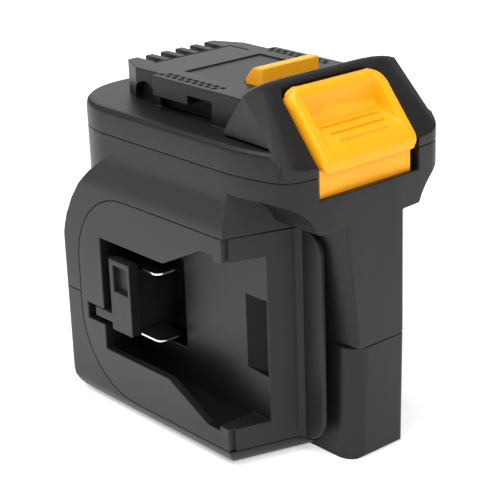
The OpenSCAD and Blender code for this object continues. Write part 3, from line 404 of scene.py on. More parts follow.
class Shader:
    """A small builder for one node material around a Principled shader."""

    def __init__(self, name: str) -> None:
        """Start an empty material.

        Args:
            name: Name of the material.
        """
        self.material = bpy.data.materials.new(name)
        self.material.use_nodes = True
        self.tree = self.material.node_tree
        self.tree.nodes.clear()
        self.output = self.tree.nodes.new("ShaderNodeOutputMaterial")
        self.principled = self.tree.nodes.new("ShaderNodeBsdfPrincipled")
        self.tree.links.new(self.principled.outputs["BSDF"], self.output.inputs["Surface"])
        self.coords = self.tree.nodes.new("ShaderNodeTexCoord").outputs["Object"]

    def fill(self, socket: bpy.types.NodeSocket, value: object) -> None:
        """Link an input to an output, or set its value.

        Args:
            socket: The input.
            value: The output's socket or the value.
        """
        if isinstance(value, bpy.types.NodeSocket):
            self.tree.links.new(value, socket)
        else:
            socket.default_value = value

    def add(self, kind: str, **values: object) -> bpy.types.Node:
        """Add a node and set or link its inputs and properties.

        Args:
            kind: The node's type.
            values: Input names (underscores for spaces) or property names, with a value or a socket.

        Returns:
            The new node.
        """
        node = self.tree.nodes.new(kind)
        for key, value in values.items():
            title = key.replace("_", " ")
            socket = next((i for i in node.inputs if i.name == title), None)
            if socket is None:
                setattr(node, key, value)
            else:
                self.fill(socket, value)
        return node

    def noise(self, size: float, detail: float = 2.0,
              stretch: Optional[Place] = None) -> bpy.types.NodeSocket:
        """Add a noise with features of a given size.

        Args:
            size: Size of a feature in metres.
            detail: Octaves of the noise.
            stretch: Factors on each axis, for a drawn-out pattern.

        Returns:
            The noise's value socket.
        """
        vector = self.coords
        if stretch is not None:
            vector = self.add("ShaderNodeMapping", Vector=vector, Scale=stretch).outputs["Vector"]
        node = self.add("ShaderNodeTexNoise", Vector=vector, Scale=1.0 / size, Detail=detail)
        return node.outputs["Fac"]

    def ramp(self, factor: bpy.types.NodeSocket, stops: list[tuple[float, Colour]]) -> bpy.types.NodeSocket:
        """Add a colour ramp.

        Args:
            factor: The value that picks the colour.
            stops: Places and colours.

        Returns:
            The ramp's colour socket.
        """
        node = self.add("ShaderNodeValToRGB", Fac=factor)
        items = node.color_ramp.elements
        while len(items) < len(stops):
            items.new(0.5)
        for item, (place, colour) in zip(items, stops):
            item.position = place
            item.color = (*colour, 1.0)
        return node.outputs["Color"]

    def span(self, factor: bpy.types.NodeSocket, low: float, high: float) -> bpy.types.NodeSocket:
        """Map a value from 0 to 1 onto a range.

        Args:
            factor: The value.
            low: Result at 0.
            high: Result at 1.

        Returns:
            The mapped value's socket.
        """
        return self.add("ShaderNodeMapRange", Value=factor, To_Min=low, To_Max=high).outputs["Result"]

    def worn_edges(self) -> bpy.types.NodeSocket:
        """Add a mask of the rounded edges.

        Returns:
            The mask's value socket.
        """
        low, high = EDGE_WEAR
        point = self.tree.nodes.new("ShaderNodeNewGeometry").outputs["Pointiness"]
        return self.add("ShaderNodeMapRange", Value=point, From_Min=low, From_Max=high).outputs["Result"]

    def mix(self, factor: bpy.types.NodeSocket, a: object, b: object) -> bpy.types.NodeSocket:
        """Mix two colours.

        Args:
            factor: Share of the second colour.
            a: First colour or its socket.
            b: Second colour or its socket.

        Returns:
            The mixed colour's socket.
        """
        node = self.add("ShaderNodeMix", data_type="RGBA", Factor=factor)
        for place, value in ((MIX_A, a), (MIX_B, b)):
            self.fill(node.inputs[place], (*value, 1.0) if isinstance(value, tuple) else value)
        return node.outputs[MIX_RESULT]

    def bump(self, height: bpy.types.NodeSocket, strength: float, depth: float) -> None:
        """Give the surface a relief.

        Args:
            height: Height from 0 to 1.
            strength: Strength of the relief.
            depth: Depth of the relief in metres.
        """
        node = self.add("ShaderNodeBump", Height=height, Strength=strength, Distance=depth)
        self.tree.links.new(node.outputs["Normal"], self.principled.inputs["Normal"])

    def feed(self, **sockets: object) -> None:
        """Set or link inputs of the Principled shader.

        Args:
            sockets: Input names (underscores for spaces) with a value or a socket.
        """
        for key, value in sockets.items():
            self.fill(self.principled.inputs[key.replace("_", " ")], value)


@dataclass(frozen=True)
class Finish:
    """Finish with a material of its own. Lengths in metres, as in every kind of finish."""

    name: str

    def material(self) -> bpy.types.Material:
        """Build the material, or find it if it is there.

        Returns:
            The material.
        """
        found = bpy.data.materials.get(self.name)
        if found is not None:
            return found
        shader = Shader(self.name)
        self.paint(shader)
        return shader.material

    def paint(self, shader: Shader) -> None:
        """Fill the shader, each kind of finish in its own way."""
        raise NotImplementedError


@dataclass(frozen=True)
class MouldedPlastic(Finish):
    """Spark-eroded moulded plastic with a fine grain and polished edges."""

    colour: Colour
    shade: Colour
    edge: Colour
    rough: Span
    grain: float
    relief: float
    specular: float = 0.5
    depth: float = 0.06 * MM
    cloud: float = 18 * MM
    patch: float = 3 * MM

    def paint(self, shader: Shader) -> None:
        """Cloud two tones, lighten worn edges in patches and raise the grain.

        Args:
            shader: The shader to fill.
        """
        cloud = shader.noise(self.cloud, CLOUDY)
        grain = shader.noise(self.grain)
        tone = shader.ramp(cloud, [(0.35, self.shade), (0.65, self.colour)])
        wear = shader.add("ShaderNodeMath", operation="MULTIPLY")
        shader.fill(wear.inputs[0], shader.worn_edges())
        shader.fill(wear.inputs[1], shader.noise(self.patch, CLOUDY))
        shader.feed(
            Base_Color=shader.mix(wear.outputs[0], tone, self.edge),
            Roughness=shader.span(grain, *self.rough),
            Specular_IOR_Level=self.specular,
        )
        shader.bump(grain, self.relief, self.depth)


@dataclass(frozen=True)
class DrawnMetal(Finish):
    """Rolled or drawn metal with fine streaks along one axis."""

    colour: Colour
    tint: Colour
    rough: Span
    stretch: Place
    streak: float = 0.6 * MM
    cloud: float = 4 * MM
    relief: float = 0.12
    depth: float = 0.02 * MM

    def paint(self, shader: Shader) -> None:
        """Cloud two tones and draw the streaks.

        Args:
            shader: The shader to fill.
        """
        streaks = shader.noise(self.streak, CLOUDY, self.stretch)
        cloud = shader.noise(self.cloud, CLOUDY)
        shader.feed(
            Base_Color=shader.ramp(cloud, [(0.3, self.tint), (0.7, self.colour)]),
            Roughness=shader.span(streaks, *self.rough),
            Metallic=1.0,
        )
        shader.bump(streaks, self.relief, self.depth)


@dataclass(frozen=True)
class PrintedBoard(Finish):
    """Solder mask over woven laminate, with copper tracks that show through."""

    mask: Colour
    track: Colour
    weave: float
    rough: Span
    blotch: float = 2 * MM
    speck: float = 1 * MM
    relief: float = 0.2
    depth: float = 0.03 * MM

    def paint(self, shader: Shader) -> None:
        """Lay the tracks and cover them unevenly.

        Args:
            shader: The shader to fill.
        """
        track, mask = (*self.track, 1.0), (*self.mask, 1.0)
        brick = shader.add("ShaderNodeTexBrick", Vector=shader.coords, Scale=1.0 / self.weave,
                           Color1=track, Color2=track, Mortar=mask)
        tone = shader.mix(shader.noise(self.blotch), brick.outputs["Color"], self.mask)
        shader.feed(Base_Color=tone, Roughness=shader.span(shader.noise(self.speck), *self.rough))
        shader.bump(brick.outputs["Fac"], self.relief, self.depth)


class Finishes:
    """All finishes of the adapter."""

    COAL = (0.0088, 0.0085, 0.0082)
    COAL_SHADE = (0.0074, 0.0072, 0.0070)
    COAL_DEEP = (0.0072, 0.0070, 0.0068)
    COAL_EDGE = (0.030, 0.029, 0.028)
    HOUSING = MouldedPlastic("housing_satin", COAL, COAL_SHADE, (0.026, 0.026, 0.025),
                             rough=(0.34, 0.46), grain=0.30 * MM, relief=0.12, specular=0.26)
    COVER = MouldedPlastic("cover_fine_grain", COAL, COAL_DEEP, COAL_EDGE,
                           rough=(0.36, 0.50), grain=0.40 * MM, relief=0.32, specular=0.27)
    HUMP = MouldedPlastic("hump_coarse_grain", COAL, COAL_DEEP, COAL_EDGE, rough=(0.32, 0.52),
                          grain=0.46 * MM, relief=0.9, specular=0.29, depth=0.11 * MM)
    INSERT = MouldedPlastic("insert_satin", COAL, COAL_SHADE, COAL_EDGE,
                            rough=(0.30, 0.42), grain=0.28 * MM, relief=0.10, specular=0.26)
    TERMINAL = MouldedPlastic("terminal_matt", (0.0110, 0.0107, 0.0104), (0.0090, 0.0088, 0.0086),
                              (0.026, 0.026, 0.026), rough=(0.42, 0.55), grain=0.25 * MM,
                              relief=0.10, specular=0.29)
    # Painted shade: a darker, duller plastic laid on faces deep in pockets, where shadow falls.
    RECESS_PAINTED_SHADE = MouldedPlastic("recess_painted_shade", (0.0046, 0.0045, 0.0044), (0.0036, 0.0035, 0.0034),
                            (0.014, 0.014, 0.014), rough=(0.55, 0.70), grain=0.30 * MM,
                            relief=0.10, specular=0.10)
    BUTTON = MouldedPlastic("button_amber", (1.00, 0.400, 0.006), (0.97, 0.375, 0.004), (1.00, 0.46, 0.03),
                            rough=(0.32, 0.44), grain=0.26 * MM, relief=0.06, specular=0.30)
    PACKAGE = MouldedPlastic("package_epoxy", (0.012, 0.012, 0.013), (0.009, 0.009, 0.010),
                             (0.03, 0.03, 0.03), rough=(0.5, 0.65), grain=0.2 * MM, relief=0.15)
    RED_SLEEVE = MouldedPlastic("wire_red_sleeve", (0.42, 0.012, 0.010), (0.36, 0.010, 0.008),
                                (0.5, 0.05, 0.04), rough=(0.32, 0.42), grain=0.5 * MM, relief=0.08)
    BLACK_SLEEVE = MouldedPlastic("wire_black_sleeve", (0.020, 0.020, 0.020), (0.014, 0.014, 0.014),
                                  (0.05, 0.05, 0.05), rough=(0.32, 0.42), grain=0.5 * MM, relief=0.08)
    CONTACT = DrawnMetal("contact_nickel", (0.86, 0.84, 0.80), (0.74, 0.72, 0.68),
                         rough=(0.12, 0.24), stretch=(1.0, 0.06, 1.0))
    STEEL = DrawnMetal("screw_zinc", (0.56, 0.57, 0.58), (0.46, 0.47, 0.49),
                       rough=(0.28, 0.42), stretch=(1.0, 1.0, 0.2))
    SPRING = DrawnMetal("spring_wire", (0.50, 0.51, 0.53), (0.40, 0.41, 0.43),
                        rough=(0.22, 0.34), stretch=(1.0, 1.0, 0.4))
    COPPER = DrawnMetal("clip_bronze", (0.80, 0.52, 0.30), (0.66, 0.40, 0.22),
                        rough=(0.22, 0.36), stretch=(1.0, 1.0, 0.1))
    ALUMINIUM = DrawnMetal("spreader_aluminium", (0.78, 0.79, 0.80), (0.68, 0.69, 0.70),
                           rough=(0.3, 0.45), stretch=(0.1, 1.0, 1.0))
    BOARD = PrintedBoard("board_green", (0.010, 0.085, 0.035), (0.03, 0.16, 0.06), 5 * MM, (0.25, 0.4))


def dress(obj: bpy.types.Object, finish: Finish) -> None:
    """Give a piece or CAD node its finish.

    Args:
        obj: The object to dress.
        finish: One of the finishes.
    """
    obj.data.materials.clear()
    obj.data.materials.append(finish.material())


def dress_faces(obj: bpy.types.Object, finish: Finish,
                chosen: Callable[[bpy.types.MeshPolygon], bool]) -> None:
    """Give some faces of a dressed piece a second finish.

    Args:
        obj: The dressed piece.
        finish: The second finish.
        chosen: Tells whether a face takes it.
    """
    obj.data.materials.append(finish.material())
    for face in obj.data.polygons:
        if chosen(face):
            face.material_index = 1


def settle(obj: bpy.types.Object, body: Body, slot: Slot, *nodes: str) -> None:
    """Hand a finished piece over to the frame.

    Args:
        obj: The finished piece.
        body: The body that it rides on.
        slot: The record's slot that its finish belongs to; not used.
        nodes: CAD nodes that it stands for.
    """
    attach(obj, body.value)
    if nodes:
        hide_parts(*nodes)
    LOG.info("%s: %d faces on %s", obj.name, len(obj.data.polygons), body.value)


def plan_outline(obj: bpy.types.Object, height: float, play: float = 0.02) -> list[Spot]:
    """Find the convex outline of a piece's vertices at one height.

    Args:
        obj: The piece.
        height: The height in millimetres.
        play: How far above or below it a vertex may lie, in millimetres.

    Returns:
        X and Y of the outline's corners in metres, counter-clockwise.
    """
    spots = sorted({(v.co.x, v.co.y) for v in obj.data.vertices if abs(v.co.z - height * MM) < play * MM})

    def chain(order: list[Spot]) -> list[Spot]:
        """Walk along one side of the outline.

        Args:
            order: All points, from one end to the other.

        Returns:
            The side's corners without the last one.
        """
        way: list[Spot] = []
        for x, y in order:
            while len(way) > 1 and ((way[-1][0] - way[-2][0]) * (y - way[-2][1])
                                    <= (way[-1][1] - way[-2][1]) * (x - way[-2][0])):
                way.pop()
            way.append((x, y))
        return way[:-1]

    return chain(spots) + chain(spots[::-1])


@dataclass(frozen=True)
class FaceZone:
    """Box on both sides of the adapter, in millimetres with X counted from the middle."""

    low: Place
    high: Place

    def holds(self, face: bpy.types.MeshPolygon) -> bool:
        """Tell whether the middle of a face lies in the box."""
        x, y, z = (c / MM for c in face.center)
        return all(a <= c <= b for a, c, b in zip(self.low, (abs(x), y, z), self.high))


@dataclass
class TopCover:
    """Cover with the slide rails, the terminal slots and the hump. Sizes in millimetres."""

    edge_r: float = 0.45
    latch_channel: EdgeZone = EdgeZone((-14.0, -39.0, 112.0), (14.0, -12.0, 117.5), 0.0)
    button_opening: EdgeZone = EdgeZone((-22.4, -57.5, 104.5), (22.4, -37.0, 127.1), 0.9)
    seam_z: float = 101.0
    deck_z: float = 110.0
    corner: Place = (31.5, -49.9, 103.6)
    corner_inset: float = 0.03
    slope_foot: Place = (0.0, -56.7, 104.09)
    slope_out: Place = (0.0, -0.7694, 0.6388)
    ridge_spare: tuple[Place, Place] = ((24.0, -58.0, 103.0), (37.0, -34.0, 128.0))
    ridge_foot: Place = (33.68, -49.77, 109.76)
    ridge_out: Place = (0.385, -0.657, 0.648)
    merge: float = 0.01
    flat: float = 0.3
    hump: FaceZone = FaceZone((0.0, -58.4, 103.9), (37.0, -34.0, 127.2))
    hump_facing: Spot = (-0.15, 0.2)

    def build(self) -> None:
        """Shape, round and dress the cover."""
        cover = copy_of_node("top_cover", "cover_moulding")
        outline = plan_outline(cover, self.seam_z)
        for side in Side:
            self.add_corner(cover, outline, side.sign)
            self.trim_ridge(cover, side.sign)
        merge_flat(cover, self.merge, self.flat)
        soften(cover, self.edge_r, (self.latch_channel, self.button_opening))
        dress(cover, Finishes.COVER)
        dress_faces(cover, Finishes.HUMP, self.on_slope)
        settle(cover, Body.SHELL, Slot.HOUSING, "top_cover")

    def add_corner(self, cover: bpy.types.Object, outline: list[Spot], side: int) -> None:
        """Carry the sloped front of the hump out to the corner of the band.

        Args:
            cover: The cover.
            outline: Outline of the band.
            side: -1 on the left, 1 on the right.
        """
        inner, rear, foot = self.corner
        fit = 1.0 - self.corner_inset * MM / max(x for x, _ in outline)
        mesh = bpy.data.meshes.new("hump_corner")
        mesh.from_pydata([(x * fit, y * fit, foot * MM) for x, y in outline], [],
                         [tuple(range(len(outline)))])
        corner = add_object("hump_corner", mesh)
        with editing(corner, whole=True):
            rise = (0.0, 0.0, (self.deck_z - foot) * MM)
            bpy.ops.mesh.extrude_region_move(TRANSFORM_OT_translate={"value": rise})
            bpy.ops.mesh.select_all(action="SELECT")
            bpy.ops.mesh.normals_make_consistent(inside=False)
        cut_away(corner, self.slope_foot, self.slope_out)
        cut_away(corner, (0.0, rear, 0.0), (0.0, 1.0, 0.0))
        cut_away(corner, (side * inner, 0.0, 0.0), (-side, 0.0, 0.0))
        combine(cover, corner, "UNION")

    def trim_ridge(self, cover: bpy.types.Object, side: int) -> None:
        """Lead the sloped front straight to the ridge beside the hump's flank.

        Args:
            cover: The cover.
            side: -1 on the left, 1 on the right.
        """
        (inner, front, low), (outer, rear, high) = self.ridge_spare
        left, right = sorted((side * inner, side * outer))
        spare = block("ridge_spare", (left, front, low), (right, rear, high))
        (x, y, z), (out_x, out_y, out_z) = self.ridge_foot, self.ridge_out
        cut_away(spare, (side * x, y, z), (-side * out_x, -out_y, -out_z))
        combine(cover, spare, "DIFFERENCE")

    def on_slope(self, face: bpy.types.MeshPolygon) -> bool:
        """Tell whether a face belongs to the hump's coarsely grained slope."""
        most_y, least_z = self.hump_facing
        return self.hump.holds(face) and face.normal.y < most_y and face.normal.z > least_z


@dataclass
class Housing:
    """Upper and lower halves of the housing. Sizes in millimetres."""

    edge_r: float = 0.5
    inside: tuple[EdgeZone, ...] = (
        EdgeZone((-22.5, -36.0, 2.5), (22.5, 50.0, 86.0), 0.0),
        EdgeZone((-22.5, -33.0, 84.0), (22.5, 54.0, 101.2), 0.0),
    )

    def build(self) -> None:
        """Round both halves, their hidden inner edges apart, and dress them."""
        for node in ("housing_upper", "housing_lower"):
            half = copy_of_node(node, node + "_moulding")
            soften(half, self.edge_r, self.inside)
            dress(half, Finishes.HOUSING)
            settle(half, Body.SHELL, Slot.HOUSING, node)


@dataclass
class PackSocket:
    """Socket for one battery pack: insert, terminal block and two contact blades. Sizes in millimetres."""

    side: Side
    insert_r: float = 0.4
    block_r: float = 0.25
    blade_r: float = 0.18
    # Boxes of faces deep in the socket's pockets and behind the terminal block that get painted shade.
    insert_painted_shade: tuple[FaceZone, ...] = (
        FaceZone((24.0, -35.7, 29.7), (25.6, -25.6, 55.9)),
        FaceZone((16.6, 6.2, 26.7), (25.6, 34.2, 58.9)),
        FaceZone((25.6, -33.0, 12.2), (38.5, 34.2, 12.7)),
    )
    block_painted_shade: tuple[FaceZone, ...] = (
        FaceZone((16.0, 0.0, 20.0), (37.8, 40.0, 66.0)),
        FaceZone((36.0, 17.8, 20.0), (39.6, 18.4, 66.0)),
    )

    def build(self) -> None:
        """Build and dress the socket's pieces."""
        self.piece("socket_insert", self.insert_r, Finishes.INSERT, Slot.INSERT, self.insert_painted_shade)
        self.piece("terminal_block", self.block_r, Finishes.TERMINAL, Slot.TERMINAL, self.block_painted_shade)
        for pole in ("positive", "negative"):
            self.piece(f"blade_{pole}", self.blade_r, Finishes.CONTACT, Slot.CONTACT)

    def piece(self, part: str, radius: float, finish: Finish, slot: Slot,
              painted_shade_zones: tuple[FaceZone, ...] = ()) -> None:
        """Round and dress one piece of the socket.

        Args:
            part: The CAD node's name without its side.
            radius: Width of its rounded edges.
            finish: Its finish.
            slot: Its slot in the record.
            painted_shade_zones: Places whose faces take painted shade, a darker and duller plastic.
        """
        node = f"{part}_{self.side.value}"
        obj = copy_of_node(node, node + "_fine")
        soften(obj, radius)
        dress(obj, finish)
        # Painted shade: faces deep in the pockets are dressed darker.
        if painted_shade_zones:
            dress_faces(obj, Finishes.RECESS_PAINTED_SHADE, lambda face: any(p.holds(face) for p in painted_shade_zones))
        settle(obj, Body.SHELL, slot, node)


@dataclass(frozen=True)
class ProfilePoint:
    """Point of a moulded profile, with the direction that faces out of it, in the Y-Z plane."""

    y: float
    z: float
    out_y: float
    out_z: float


def rounded_profile(corners: list[Place], step: float) -> list[ProfilePoint]:
    """Walk along an outline that turns left, with its corners rounded.

    Args:
        corners: Y, Z and radius of each corner, in millimetres.
        step: Longest distance between two points.

    Returns:
        The points in order.
    """
    spots = [Vector(c[:2]) for c in corners]
    runs = [(b - a).normalized() for a, b in zip(spots, spots[1:])]
    points: list[ProfilePoint] = []
    start = spots[0]
    for i, run in enumerate(runs):
        turn = run.angle(runs[i + 1]) if i + 1 < len(runs) else 0.0
        radius = corners[i + 1][2]
        end = spots[i + 1] - run * radius * math.tan(turn / 2)
        count = max(1, math.ceil((end - start).length / step))
        for k in range(count + 1):
            spot = start.lerp(end, k / count)
            points.append(ProfilePoint(spot.x, spot.y, run.y, -run.x))
        if turn > 0.0:
            out = Vector((run.y, -run.x))
            centre = end - out * radius
            parts = max(ARC_STEPS, math.ceil(radius * turn / step))
            for k in range(1, parts):
                a = turn * k / parts
                way = Vector((out.x * math.cos(a) - out.y * math.sin(a),
                              out.x * math.sin(a) + out.y * math.cos(a)))
                spot = centre + way * radius
                points.append(ProfilePoint(spot.x, spot.y, way.x, way.y))
            start = spots[i + 1] + runs[i + 1] * radius * math.tan(turn / 2)
    return points


def soft_least(a: float, b: float, reach: float) -> float:
    """Give the lesser of two values, with a rounded change from one to the other.

    Args:
        a: First value.
        b: Second value.
        reach: Difference at which the rounding starts.

    Returns:
        The rounded minimum.
    """
    h = max(reach - abs(a - b), 0.0) / reach
    return min(a, b) - h * h * reach / 4


def soft_step(low: float, high: float, value: float) -> float:
    """Rise smoothly from 0 at low to 1 at high.

    Args:
        low: Value at which the rise starts.
        high: Value at which it ends.
        value: The value.

    Returns:
        A share from 0 to 1.
    """
    t = min(1.0, max(0.0, (value - low) / (high - low)))
    return t * t * (3 - 2 * t)


@dataclass
class ButtonFace:
    """Wide finger face of the button with its notch, ridges and lip. Sizes in millimetres."""

    half_w: float = 20.2
    back: float = -39.5
    back_drop: float = 2.0
    back_r: float = 0.6
    top: float = 124.8
    brow: Spot = (-58.2, 105.73)
    lip_z: float = 101.3
    panel_y: float = -55.3
    slope: float = math.radians(50.3)
    rim: float = 1.5
    rim_start: float = 1.5
    top_r: float = 2.0
    brow_r: float = 4.2
    lip_r: float = 1.1
    corner_top: float = 5.0
    corner_lip: float = 3.0
    notch_start: float = 5.0
    notch_fold: float = 15.9
    notch_end: float = 23.0
    notch_depth: float = 6.0
    notch_half: Spot = (15.2, 16.5)
    notch_back: float = 0.8
    fold_r: float = 1.6
    mouth_r: float = 1.2
    ridges: tuple[Place, ...] = ((6.3, 10.3, 0.75), (9.3, 11.5, 0.8), (12.6, 12.3, 0.8))
    ridge_half: float = 0.8
    ridge_flat: float = 0.4
    depth: float = 11.7
    tail: Spot = (0.4, 1.5)
    seat_y: float = -52.6
    seat_z: float = 106.0
    row_step: float = 0.26
    wall_play: float = 0.3
    column_counts: tuple[int, ...] = (40, 18, 6, 12)
    smooth_angle: float = 42.0

    def build(self) -> bpy.types.Object:
        """Model the face.

        Returns:
            The new object.
        """
        front, brow_z = self.brow
        top_front = front + (self.top - brow_z) / math.tan(self.slope)
        rows = rounded_profile([
            (self.back, self.top - self.back_drop, 0.0), (self.back, self.top, self.back_r),
            (top_front, self.top, self.top_r), (front, brow_z, self.brow_r),
            (front, self.lip_z, self.lip_r), (self.panel_y, self.lip_z, 0.0),
        ], self.row_step)
        rows.reverse()
        columns = self.columns()
        last_column, last_row = len(columns) - 1, len(rows) - 1
        deselect_all()
        bpy.ops.mesh.primitive_grid_add(x_subdivisions=last_column, y_subdivisions=last_row, size=2.0)
        face = bpy.context.object
        face.name = face.data.name = "button_face"
        for vertex in face.data.vertices:
            column = columns[round((vertex.co.x + 1) / 2 * last_column)]
            row = rows[round((vertex.co.y + 1) / 2 * last_row)]
            vertex.co = self.surface(column, row)
        self.close(face)
        activate(face)
        bpy.ops.object.shade_smooth_by_angle(angle=math.radians(self.smooth_angle))
        return face

    def columns(self) -> list[float]:
        """List the places of the columns, closer at the rim and at the walls of the notch.

        Returns:
            Shares of the half width, from -1 to 1.
        """
        stops = [0.0, self.notch_half[0] - self.wall_play, self.notch_half[1] + self.wall_play,
                 self.half_w - self.rim, self.half_w]
        half = [0.0]
        for a, b, count in zip(stops, stops[1:], self.column_counts):
            half += [(a + (b - a) * (k + 1) / count) / self.half_w for k in range(count)]
        return [-v for v in reversed(half[1:])] + half

    def width(self, z: float) -> float:
        """Give the half width at a height, with the corners of the front rounded.

        Args:
            z: The height.

        Returns:
            The half width.
        """
        up = max(0.0, z - (self.top - self.corner_top))
        down = max(0.0, self.lip_z + self.corner_lip - z)
        inset = self.corner_top - math.sqrt(max(0.0, self.corner_top ** 2 - up * up))
        inset += self.corner_lip - math.sqrt(max(0.0, self.corner_lip ** 2 - down * down))
        return self.half_w - inset

    def rim_fall(self, x: float, row: ProfilePoint) -> float:
        """Give how far the rounded rim falls away at a point of the profile.

        Args:
            x: Distance from the middle.
            row: Point of the profile.

        Returns:
            The depth below the plain profile.
        """
        up = row.z - (self.top - self.corner_top)
        down = self.lip_z + self.corner_lip - row.z
        radius, rise = (self.corner_top, up) if up > 0 else (self.corner_lip, max(down, 0.0))
        side = x - (self.half_w - radius)
        if rise > 0 and side <= 0:
            return 0.0
        distance = radius - math.hypot(side, rise) if rise > 0 else self.half_w - x
        lean = row.out_z * math.copysign(rise / math.hypot(side, rise), up) if rise > 0 else 0.0
        reach = self.rim * math.tan(math.acos(max(-1.0, min(1.0, lean))) / 2)
        reach *= soft_step(0.0, self.rim_start, side)
        near = max(0.0, min(reach, self.rim) - distance)
        return self.rim - math.sqrt(max(0.0, self.rim ** 2 - near * near))

    def hollow(self, x: float, along: float) -> float:
        """Give the depth of the notch below the face, less the ridges that stand in it.

        Args:
            x: Place across the face.
            along: Distance up the face from its foot.

        Returns:
            The depth.
        """
        front = (along - self.notch_start) * self.notch_depth / (self.notch_fold - self.notch_start)
        rear = (self.notch_end - along) * self.notch_depth / (self.notch_end - self.notch_fold)
        depth = -soft_least(-soft_least(front, rear, self.fold_r), 0.0, self.mouth_r)
        for place, half, height in self.ridges:
            off = math.hypot(max(abs(x) - half, 0.0), along - place)
            depth -= height * (1 - soft_step(self.ridge_flat * self.ridge_half, self.ridge_half, off))
        return depth * (1 - soft_step(*self.notch_half, abs(x)))

    def surface(self, column: float, row: ProfilePoint) -> Vector:
        """Place one vertex of the face.

        Args:
            column: Share of the half width.
            row: Point of the profile.

        Returns:
            The place in metres.
        """
        x = column * self.width(row.z)
        sink = self.rim_fall(abs(x), row)
        front, brow_z = self.brow
        along = (row.y - front) * math.cos(self.slope) + (row.z - brow_z) * math.sin(self.slope)
        if row.y < self.back - self.notch_back and row.z > brow_z:
            sink += self.hollow(x, along)
        return Vector((x, row.y - row.out_y * sink, row.z - row.out_z * sink)) * MM

    def close(self, face: bpy.types.Object) -> None:
        """Draw the rim back into the cover and close it behind.

        Args:
            face: The open face.
        """
        with editing(face) as mesh:
            bpy.ops.mesh.select_mode(type="EDGE")
            for edge in mesh.edges:
                edge.select_set(edge.is_boundary)
            bmesh.update_edit_mesh(face.data)
            bpy.ops.mesh.extrude_region_move()
            mesh = bmesh.from_edit_mesh(face.data)
            for vertex in (v for v in mesh.verts if v.select):
                y, z = vertex.co.y / MM, vertex.co.z / MM
                if y > self.back - self.tail[0] and z < self.top - self.tail[1]:
                    z -= self.back_drop
                vertex.co.y = min(y + self.depth, self.back if z > self.seat_z else self.seat_y) * MM
                vertex.co.z = z * MM
            bmesh.update_edit_mesh(face.data)
            bpy.ops.mesh.mark_sharp()
            bpy.ops.mesh.edge_face_add()
            bpy.ops.mesh.quads_convert_to_tris(ngon_method="CLIP")
            bpy.ops.mesh.select_all(action="SELECT")
            bpy.ops.mesh.normals_make_consistent(inside=False)


@dataclass
class ReleaseButton:
    """Button with its face, panel, latch tab and spring cups. Sizes in millimetres."""

    panel: tuple[Place, Place] = ((-19.8, -55.3, 91.5), (19.8, -53.1, 104.3))
    panel_r: float = 0.5
    arm: tuple[Place, Place] = ((-12.35, -40.5, 112.5), (12.35, -20.7, 116.5))
    arm_r: float = 0.4
    latch: tuple[Place, Place] = ((-12.35, -21.7, 112.5), (12.35, -13.5, 126.8))
    latch_r: float = 0.55
    latch_segments: int = 3
    latch_cuts: tuple[Place, ...] = ((-18.26, 126.8, 28.8), (-16.62, 125.9, 48.0))
    cup: Place = (10.0, -46.7, 104.0)
    cup_r: float = 4.1
    cup_top: float = 109.5
    cup_sides: int = 40
    cup_edge_r: float = 0.4
    cup_edge_angle: float = 30.0
    pin_r: float = 2.3
    pin_len: float = 3.0

    def build(self) -> None:
        """Model and dress the button's pieces."""
        face = ButtonFace().build()
        pieces = [face, self.slab("button_panel", self.panel, self.panel_r),
                  self.slab("button_arm", self.arm, self.arm_r), self.tab(), *map(self.spring_cup, Side)]
        for piece in pieces:
            dress(piece, Finishes.BUTTON)
            settle(piece, Body.BUTTON, Slot.BUTTON, *(("release_button",) if piece is face else ()))

    def slab(self, name: str, corners: tuple[Place, Place], radius: float) -> bpy.types.Object:
        """Model the panel under the lip or the arm that carries the latch tab.

        Args:
            name: Name of the piece.
            corners: Its lowest and highest corner.
            radius: Width of its rounded edges.

        Returns:
            The new object.
        """
        slab = block(name, *corners)
        soften(slab, radius)
        return slab

    def tab(self) -> bpy.types.Object:
        """Model the latch tab; each cut of its sloped rear has Y, Z and a fall in degrees.

        Returns:
            The new object.
        """
        tab = block("latch_tab", *self.latch)
        for y, z, fall in self.latch_cuts:
            a = math.radians(fall)
            cut_away(tab, (0.0, y, z), (0.0, math.sin(a), math.cos(a)))
        soften(tab, self.latch_r, segments=self.latch_segments)
        return tab

    def spring_cup(self, side: Side) -> bpy.types.Object:
        """Model the seat of one spring with the pin that centres it.

        Args:
            side: The spring's side.

        Returns:
            The new object.
        """
        deselect_all()
        x, y, z = self.cup
        middle = (side.sign * x * MM, y * MM, (z + self.cup_top) / 2 * MM)
        bpy.ops.mesh.primitive_cylinder_add(vertices=self.cup_sides, radius=self.cup_r * MM,
                                            depth=(self.cup_top - z) * MM, location=middle)
        cup = bpy.context.object
        cup.name = cup.data.name = f"spring_cup_{side.value}"
        bpy.ops.object.transform_apply(location=True, rotation=True, scale=True)
        with editing(cup) as mesh:
            bpy.ops.mesh.select_mode(type="FACE")
            for face in mesh.faces:
                face.select_set(face.normal.z < -FACING)
            bmesh.update_edit_mesh(cup.data)
            bpy.ops.mesh.inset(thickness=(self.cup_r - self.pin_r) * MM)
            bpy.ops.mesh.extrude_region_move(TRANSFORM_OT_translate={"value": (0.0, 0.0, -self.pin_len * MM)})
        soften(cup, self.cup_edge_r, least_angle=self.cup_edge_angle)
        return cup


